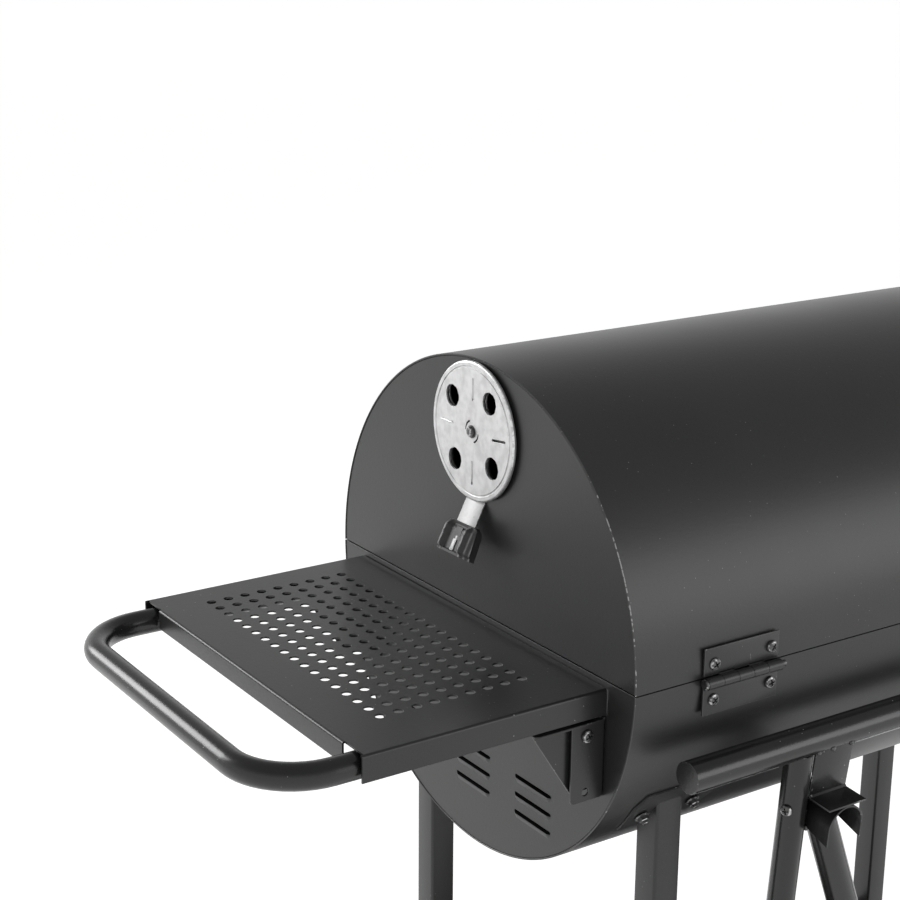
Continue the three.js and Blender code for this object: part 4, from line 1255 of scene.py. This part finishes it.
def wheel_plastic(name, tone):
    rubber = Finish(name, specular_ior_level=0.4)
    cloudy = rubber.noise(30, 3)
    dust = rubber.noise(12, 4).between(0.5, 0.75)
    rubber.give("Base Color", rubber.mix(dust * 0.25, rubber.mix(
        cloudy, grey(tone * 0.8), grey(tone * 1.2)), grey(0.12)))
    rubber.give("Roughness", 0.55 + cloudy * 0.2)
    rubber.bump(rubber.noise(800, 2), 0.0002, 0.5)
    return rubber.material


tyre_black = wheel_plastic("wheel_plastic", 0.03)
for place, side in (("front", -1), ("rear", 1)):
    low, high = node_box(f"wheel_{place}")
    middle_y = (low.y + high.y) / 2
    half = (high.y - low.y) / 2
    radius = (high.z - low.z) / 2
    hub_place = Matrix.Translation((wheel_x, middle_y, axle_z)) @ along_y
    wheel = new_mesh()
    tread = half - 3
    crown = [(radius - 9, -tread), (radius - 3, -tread + 1.5), (radius, -tread + 6)]
    for step in range(4):
        at = -tread + 8 + step * (2 * tread - 16) / 4
        crown += [(radius, at), (radius, at + 1.6), (radius - 1.6, at + 2.1),
                  (radius - 1.6, at + 3.2), (radius, at + 3.7)]
    crown += [(radius, tread - 6), (radius - 3, tread - 1.5), (radius - 9, tread)]
    lathe(wheel, [(radius - 18, tread - 3)] + [(radius - 18, -tread + 3)] + crown
          + [(radius - 18, tread - 3)], hub_place, 72)
    lathe(wheel, [(6.3, -half), (13, -half), (14.5, -half + 1.5), (17, -5), (17, 5),
                  (14.5, half - 1.5), (13, half), (6.3, half), (6.3, -half)], hub_place, 40)
    lathe(wheel, [(16, -2), (radius - 17, -2), (radius - 17, 2), (16, 2), (16, -2)],
          hub_place, 60)
    spoke = new_mesh()
    spoke_rows = [[spoke.verts.new((r, y * w, z * h)) for y, z in
                   ((-1, -1), (1, -1), (1, 1), (-1, 1))]
                  for r, w, h in ((15, 3.2, 10), (radius - 17, 2.2, 11))]
    skin(spoke, spoke_rows[0], spoke_rows[1])
    spoke.faces.new(spoke_rows[0])
    spoke.faces.new(spoke_rows[1])
    bmesh.ops.recalc_face_normals(spoke, faces=spoke.faces)
    soften(spoke, 0.8)
    spoke_cloud = [((wheel_x, middle_y, axle_z), (0, 1, 0), math.tau * i / 10, 1)
                   for i in range(10)]
    merge(wheel, copy_part(spoke, spoke_cloud, tyre_black))
    finish_piece(f"rolling_wheel_{place}", wheel, f"wheel_{place}", "wheel_plastic",
                 tyre_black, f"wheel_{place}")

# ---- Lower rails and shelf: two square tubes between the legs, a cross tube at the table
# side, and a folded sheet shelf that lies on them.
rail_section = rounded_rectangle(-10, 10, -10, 10, 2.2, 4)
for node, along in (("lower_rail_front", "x"), ("lower_rail_rear", "x"),
                    ("cross_rail", "y")):
    low, high = node_box(node)
    middle = (low + high) / 2
    start, stop = Vector(middle), Vector(middle)
    setattr(start, along, getattr(low, along))
    setattr(stop, along, getattr(high, along))
    rail = new_mesh()
    follow(rail, [start, stop], rail_section)
    finish_piece(f"{node}_tube", rail, "stand", "black_paint", leg_paint, node)

shelf_low, shelf_high = node_box("bottom_shelf")


def tray(mesh, low, high, wall, corner=4):
    """An open sheet tray with rounded corners and rolled rims."""
    rows = []
    for inset, z in ((1.0, low.z), (0, low.z + 1.0), (0, high.z - 0.5), (0.5, high.z),
                     (wall - 0.5, high.z), (wall, high.z - 0.5), (wall, low.z + wall + 0.8),
                     (wall + 0.8, low.z + wall)):
        ring = rounded_rectangle(low.x + inset, high.x - inset, low.y + inset,
                                 high.y - inset, max(corner - inset, 0.8))
        rows.append([mesh.verts.new((u, v, z)) for u, v in ring])
    for i, (first, second) in enumerate(zip(rows, rows[1:])):
        skin(mesh, first, second, edge=1.0 if i in (2, 3, 4) else 0.0)
    mesh.faces.new(rows[0])
    mesh.faces.new(rows[-1])


shelf = new_mesh()
tray(shelf, shelf_low, shelf_high, sheet)
finish_piece("shelf_tray", shelf, "stand", "black_paint", black_paint, "bottom_shelf")

# ---- Lid rest: a capped round rail behind the barrel on two leaning struts. Each strut has a
# welded hook plate with a small shelf and an upside-down U, and a brace that slants inwards.
rail_y = 219.4
rail_z = axis_z - 69.7
rear_rail = new_mesh()
follow(rear_rail, [Vector((-39, rail_y, rail_z)),
                   Vector((-barrel_length + 39, rail_y, rail_z))], round_section(12.5, 48),
       rim=0.8)
finish_piece("rest_rail", rear_rail, "stand", "black_paint", satin_tube, "rear_rail")

lean = Matrix.Translation((0, rail_y, rail_z)) @ Matrix.Rotation(math.radians(-4.3), 4, "X")
strut_length = rail_z - shelf_low.z + 22.3
brace_lean = math.radians(23.4)
weld_spots = []
for node, centre, inward in (("table_side", -152, -1),
                             ("firebox_side", -barrel_length + 96, 1)):
    rest = new_mesh()
    follow(rest, [lean @ Vector((centre, 0, -8)), lean @ Vector((centre, 0, -strut_length))],
           round_section(11, 40), up=(1, 0, 0))
    near, far = centre + inward * 8, centre + inward * 47
    x0, x1 = min(near, far), max(near, far)
    hanger = [(9.0, -3), (10.5, -3), (8.0, -44.6), (9.4, -46.0), (31, -46.0), (31, -47.5),
              (8.6, -47.5), (6.5, -45.4)]
    hanger_mesh = new_mesh()
    run_section(hanger_mesh, hanger, lambda at, u, v: lean @ Vector((at, u, v)), x0, x1)
    bmesh.ops.recalc_face_normals(hanger_mesh, faces=hanger_mesh.faces)
    soften(hanger_mesh, 0.35, 2, 60)
    merge(rest, hanger_mesh)
    middle = centre + inward * 28
    outer_arch = arc(18, 0, math.pi, 20, (middle, -65.6))
    inner_arch = arc(16.5, math.pi, 0, 20, (middle, -65.6))
    arch = ([(middle + 18, -75)] + outer_arch + [(middle - 18, -75), (middle - 16.5, -75)]
            + inner_arch + [(middle + 16.5, -75)])
    arch_mesh = new_mesh()
    run_section(arch_mesh, arch, lambda at, u, v: lean @ Vector(
        (u, at, v - (0.25 * (at - 14) if v < -70 else 0))), 5, 31)
    bmesh.ops.recalc_face_normals(arch_mesh, faces=arch_mesh.faces)
    soften(arch_mesh, 0.35, 1, 60)
    merge(rest, arch_mesh)
    finish_piece(f"rest_strut_{node}", rest, "stand", "black_paint", satin_tube,
                 f"rear_strut_{node}")

    brace = new_mesh()
    foot_shift = inward * strut_length * math.tan(brace_lean)
    head = Vector((centre + foot_shift * 0.112, 0, -strut_length * 0.112))
    follow(brace, [lean @ head, lean @ Vector((centre + foot_shift, 0, -strut_length))],
           round_section(12.5, 40), up=(1, 0, 0))
    finish_piece(f"rest_brace_{node}", brace, "stand", "black_paint", satin_tube,
                 f"rear_brace_{node}")
    for k, size in ((0.06, 1.1), (0.16, 0.8), (0.44, 1.2), (0.93, 1.1), (0.99, 0.8)):
        weld_spots.append((lean @ Vector((near + (far - near) * k, 10.8, -6.4)),
                           (0.1, 1, 0.2), k * 24, size))
    for drop, size in ((-40, 1.0), (-46, 1.2), (-74, 1.2)):
        weld_spots.append((lean @ Vector((centre + inward * 10.2, 6.8, drop)),
                           (1, 0.4, 0), drop, size))
    out_way = (0.93, 0.37, 0)
    stand_screws.append((lean @ Vector((centre + 10.2, 4.1, -54)), out_way, 0.6, 0.98))
stand_screws += bracket_bolts
finish_piece("stand_screws", copy_part(cross_head(4.8), stand_screws, dark_zinc), "stand",
             "dark_zinc", dark_zinc, crease=30)

# Weld beads: small drops of weld metal, mostly bare.
bead = new_mesh()
lathe(bead, [(0, -1.0), (1.5, -0.7), (2.0, 0), (1.7, 0.7), (1.0, 1.3), (0, 1.5)],
      Matrix.Identity(4), 12)
for side in (-1, 1):
    for k in range(9):
        weld_spots.append(((1.2, side * 158 + side * (k - 4) * 1.1, axis_z - 94),
                           (1, 0, 0), k * 1.3, 0.9))
finish_piece("weld_beads", copy_part(bead, weld_spots, dark_zinc), "stand", "black_paint",
             dark_zinc, crease=60)


# ---- Lid handle: a steel tube bent at both ends and painted satin black, welded to the lid on
# two small round plates.
def lid_handle(name, body, node, centre_x, span, radius, height, reach, angle, tube):
    way = Vector((0, math.cos(angle), math.sin(angle)))
    foot = Vector((0, radius * way.y, height + radius * way.z))
    left, right = Vector((centre_x - span / 2, 0, 0)), Vector((centre_x + span / 2, 0, 0))
    near, far = foot + way * 0.2, foot + way * reach
    mesh = new_mesh()
    follow(mesh, rounded_path([left + near, left + far, right + far, right + near], 22),
           round_section(tube, 28), up=(0, 0, 1))
    for end in (left, right):
        lathe(mesh, [(0, -0.5), (tube + 6, -0.5), (tube + 6, 1.4), (tube + 5.2, 2),
                     (tube, 2.4), (0, 2.4)], aim(end + foot, way), 36, edges=(2,))
    finish_piece(name, mesh, body, "black_paint", satin_tube, node)


lid_handle("lid_grip_tube", "lid", "lid_handle", -barrel_length / 2, 320, barrel_radius,
           axis_z, 48, math.radians(157), 8)

# ---- Lid thermometer: a bright bezel with a white dial, plain ticks and numbers, a black
# needle and a domed glass, on a stem through the lid.
stem_angle = math.radians(137)
stem_way = Vector((0, math.cos(stem_angle), math.sin(stem_angle)))
stem_foot = Vector((-barrel_length / 2, barrel_radius * stem_way.y,
                    axis_z + barrel_radius * stem_way.z))
dial_across = Vector((-1, 0, 0))
dial_up = stem_way.cross(dial_across).normalized()
dial_place = Matrix.Translation(stem_foot) @ Matrix(
    (dial_across, dial_up, stem_way)).transposed().to_4x4()
case = new_mesh()
lathe(case, [(0, -28), (2.2, -28), (2.5, -27), (2.5, -4), (4, -4), (4, 1.5), (24.5, 1.5),
             (26, 2.6), (27, 6), (27, 8.4), (26.4, 9.4), (25.2, 9.6), (24.4, 8.8),
             (24.2, 3.2), (0, 3.2)], dial_place, 64, edges=(9, 10))
finish_piece("gauge_case", case, "lid", "zinc_plate", bright_zinc, "thermometer_case",
             crease=30)


def dial_enamel():
    enamel = Finish("dial_enamel", roughness=0.35)
    enamel.give("Base Color", enamel.mix(enamel.noise(90, 3), grey(0.72), grey(0.82)))
    return enamel.material


dial = new_mesh()
lathe(dial, [(0, 3.25), (24.1, 3.25), (24.1, 3.6), (0, 3.6)], dial_place, 64)
finish_piece("gauge_dial", dial, "lid", "zinc_plate", dial_enamel())

tick = new_mesh()
block(tick, (-0.35, 18.2, 3.55), (0.35, 22.4, 3.75), 0)
tick_spots = [(stem_foot, stem_way, math.radians(15 * k) - 1.9, 1) for k in range(15)]
marks = copy_part(tick, tick_spots, black_plastic)
for k, number in enumerate(("50", "100", "150", "200", "250")):
    words = bpy.data.curves.new("number", "FONT")
    words.body = number
    words.size = 4.6
    words.extrude = 0.08
    words.align_x = "CENTER"
    words.align_y = "CENTER"
    letters = bpy.data.objects.new("number", words)
    scene.collection.objects.link(letters)
    depsgraph = bpy.context.evaluated_depsgraph_get()
    shape = bpy.data.meshes.new_from_object(letters.evaluated_get(depsgraph))
    around = math.radians(210 - 60 * k)
    shape.transform(dial_place @ Matrix.Translation(
        (14 * math.cos(around), 14 * math.sin(around), 3.7)))
    bpy.data.objects.remove(letters)
    marks.from_mesh(shape)
finish_piece("gauge_marks", marks, "lid", "black_plastic", black_plastic)

needle = new_mesh()
needle_outline = [(-2.6, -7), (2.6, -7), (2.2, 0), (0.5, 20), (-0.5, 20), (-2.2, 0)]
plate(needle, needle_outline, [], lambda u, v, w: dial_place @ Vector((v, u, 5.2 - w)), 0.7,
      0.15)
lathe(needle, [(0, 3.75), (1.6, 3.75), (1.6, 5.4), (0, 5.8)], dial_place, 16)
finish_piece("gauge_needle", needle, "needle", "black_plastic", black_plastic,
             "thermometer_needle")
glass = Finish("gauge_glass", roughness=0.03, transmission_weight=1.0, ior=1.45)
glass.give("Base Color", glass.mix(glass.noise(60, 2), grey(0.96), grey(1.0)))
lens = new_mesh()
lathe(lens, [(0, 7.6), (23.9, 6.6), (24.3, 7.2), (18, 8.4), (10, 9.0), (0, 9.2)],
      dial_place, 48)
finish_piece("gauge_lens", lens, "lid", "zinc_plate", glass.material)

# ---- Cooking grates and fire grate: round steel wires welded across two side wires and
# plated. They lie loose on the ledges and lift out by hand.
wires = Growth("row_of_bars", {"Count": "Int", "Start": "Vector", "Step": "Vector",
                               "Bar": "Vector", "Radius": "Float", "Sides": "Int",
                               "Material": "Material"})
bar_line = wires.node("GeometryNodeMeshLine", {"mode": "OFFSET"}, {
    "Count": wires.given["Count"], "Start Location": wires.given["Start"],
    "Offset": wires.given["Step"]})
one_bar = wires.node("GeometryNodeCurveToMesh", None, {
    "Curve": wires.node("GeometryNodeCurvePrimitiveLine", None,
                        {"Start": (0, 0, 0), "End": wires.given["Bar"]}),
    "Profile Curve": wires.node("GeometryNodeCurvePrimitiveCircle", None, {
        "Resolution": wires.given["Sides"], "Radius": wires.given["Radius"]}),
    "Fill Caps": True})
wires.end(wires.node("GeometryNodeInstanceOnPoints", None,
                     {"Points": bar_line, "Instance": one_bar}))


def grate_metal(name, tone):
    wire = Finish(name, metallic=0.85)
    soot = wire.noise(18, 4)
    wire.give("Base Color", wire.mix(soot.between(0.4, 0.7), grey(tone), grey(tone * 0.55)))
    wire.give("Roughness", 0.30 + soot * 0.22)
    wire.bump(wire.noise(500, 2), 0.0001, 0.5)
    return wire.material


grate_wire = grate_metal("grate_wire", 0.42)


def wire_grate(name, node, bars):
    low, high = node_box(node)
    mesh = new_mesh()
    step = (high.x - low.x - 5) / bars
    grown = wires.run(bpy.data.meshes.new("none"), Count=bars + 1,
                      Start=(low.x + 2.5, low.y + 1, low.z + 2.9), Step=(step, 0.0, 0.0),
                      Bar=(0.0, high.y - low.y - 2, 0.0), Radius=2.0, Sides=12,
                      Material=grate_wire)
    merge(mesh, grown)
    for y in (low.y + 2.5, high.y - 2.5):
        follow(mesh, [Vector((low.x, y, low.z + 2.5)), Vector((high.x, y, low.z + 2.5))],
               round_section(2.5, 16))
    finish_piece(name, mesh, "stand", "grate_wire", grate_wire, node)


wire_grate("grate_table_side", "cooking_grate_table_side", 24)
wire_grate("grate_firebox_side", "cooking_grate_firebox_side", 24)
wire_grate("fire_grate", "firebox_grate", 11)

# ---- Charcoal tray: an open tray of folded sheet steel, painted black. It rests low in the
# barrel, under the cooking grates.
coal_tray = new_mesh()
tray(coal_tray, *node_box("charcoal_tray"), sheet)
finish_piece("coal_tray", coal_tray, "stand", "black_paint", black_paint, "charcoal_tray")

# ---- Firebox: a smaller barrel of the same build, bolted to the far end of the trough, with
# its own hinged lid, handle, air inlet and ash drawer.
box_low, box_high = node_box("firebox_trough")
fire_radius = (box_high.y - box_low.y) / 2
fire_z = box_low.z + fire_radius
fire_start, fire_end = box_high.x, box_low.x
fire_lid_start = node_box("firebox_lid_shell")[1].x
fire_upper, fire_lower = half_angles(fire_radius, True), half_angles(fire_radius, False)
fire_trough = new_mesh()
rolled_sheet(fire_trough, fire_radius, fire_lower, fire_end, fire_start, fire_z, 96)
finish_piece("fire_trough_sheet", fire_trough, "stand", "black_paint", black_paint,
             "firebox_trough")
fire_lid = new_mesh()
rolled_sheet(fire_lid, fire_radius, fire_upper, fire_end, fire_lid_start, fire_z, 96)
finish_piece("fire_lid_sheet", fire_lid, "firebox_lid", "black_paint", black_paint,
             "firebox_lid_shell")

inlet_z = node_box("firebox_damper")[0].z + 38 - fire_z
drawer_low, drawer_high = node_box("ash_drawer")
drawer_floor = drawer_low.z + 5
drawer_hole = [(-51, drawer_floor - 1 - fire_z), (51, drawer_floor - 1 - fire_z),
               (51, drawer_floor + 28 - fire_z), (-51, drawer_floor + 28 - fire_z)]
for name, node, body, angles, x, way, holes in (
        ("fire_inner_end", "firebox_end_barrel_side", "stand", fire_lower, fire_start - 0.1,
         1, [[(y, z + axis_z - fire_z) for y, z in mouth]]),
        ("fire_outer_end", "firebox_end_outer", "stand", fire_lower, fire_end + 0.6, -1,
         hole_ring(inlet_z, 21, 9.5, 3, math.pi / 2) + [drawer_hole]),
        ("fire_lid_inner_end", "firebox_lid_end_barrel_side", "firebox_lid", fire_upper,
         fire_lid_start - 0.6, 1, []),
        ("fire_lid_outer_end", "firebox_lid_end_outer", "firebox_lid", fire_upper,
         fire_end + 0.6, -1, [])):
    end_sheet = new_mesh()
    plate(end_sheet, half_disc(fire_radius, angles, 96), holes, on_end(x, fire_z, way), sheet)
    finish_piece(name, end_sheet, body, "black_paint", black_paint, node)
lid_handle("fire_lid_tube", "firebox_lid", "firebox_lid_handle",
           (fire_lid_start + fire_end) / 2, 150, fire_radius, fire_z, 42, math.radians(150),
           6.5)

fire_hinge_x = (fire_lid_start + fire_end) / 2
fire_hinge_y, fire_hinge_z = fire_radius + 5, fire_z - 4.7
upper, lower = new_mesh(), new_mesh()
hinge_leaf(upper, fire_hinge_x, fire_hinge_y, fire_hinge_z, 1, (1, 3))
finish_piece("fire_hinge_upper", upper, "firebox_lid", "black_paint", black_paint,
             "firebox_hinge_upper_leaf")
hinge_leaf(lower, fire_hinge_x, fire_hinge_y, fire_hinge_z, -1, (0, 2, 4))
finish_piece("fire_hinge_lower", lower, "stand", "black_paint", black_paint,
             "firebox_hinge_lower_leaf")
fire_screws = hinge_screw_spots(fire_hinge_x, fire_hinge_y, fire_hinge_z)
finish_piece("fire_lid_screws", copy_part(cross_head(4.8), fire_screws[:2], dark_zinc),
             "firebox_lid", "dark_zinc", dark_zinc, crease=30)
finish_piece("fire_stand_screws", copy_part(cross_head(4.8), fire_screws[2:], dark_zinc),
             "stand", "dark_zinc", dark_zinc, crease=30)

# ---- Air inlet and ash drawer: a zinc disc with three holes and a tab, and a sheet drawer
# with a folded front and a bent pull.
inlet = new_mesh()
plate(inlet, round_hole(0, 0, 38, 72),
      hole_ring(0, 21, 9.5, 3, math.pi / 2) + [round_hole(0, 0, 3.3, 16)],
      on_end(fire_end - 1.4, fire_z + inlet_z, -1), sheet, 0.3)
inlet_top = fire_z + inlet_z + 38
block(inlet, (fire_end - 15.4, -7, inlet_top - 5.5), (fire_end - 0.9, 7, inlet_top - 3.9),
      0.5)
finish_piece("inlet_disc", inlet, "firebox_damper", "zinc_plate", bright_zinc,
             "firebox_damper")
inlet_bolt = new_mesh()
lathe(inlet_bolt, [(0, -4), (3, -4), (3, 1.5), (6, 1.5), (6, 2.8), (4.4, 4.4), (0, 5)],
      aim((fire_end, 0, fire_z + inlet_z), (-1, 0, 0)), 24, edges=(4,))
finish_piece("inlet_bolt", inlet_bolt, "stand", "dark_zinc", dark_zinc)

drawer = new_mesh()
tray(drawer, Vector((fire_end - 0.6, -50, drawer_floor)),
     Vector((drawer_high.x, 50, drawer_floor + 27)), sheet, 3)
face_outline = rounded_rectangle(-57, 57, drawer_low.z, drawer_high.z, 4)
plate(drawer, face_outline, [], lambda u, v, w: (fire_end - 2.4 + w, u, v), sheet, 0.4)
pull_z = drawer_floor + 13
follow(drawer, rounded_path([(fire_end - 1.5, -21.5, pull_z), (fire_end - 17, -21.5, pull_z),
                             (fire_end - 17, 21.5, pull_z), (fire_end - 1.5, 21.5, pull_z)],
                            5, 5), round_section(2.6, 16))
finish_piece("ash_drawer_tray", drawer, "ash_drawer", "black_paint", black_paint,
             "ash_drawer")
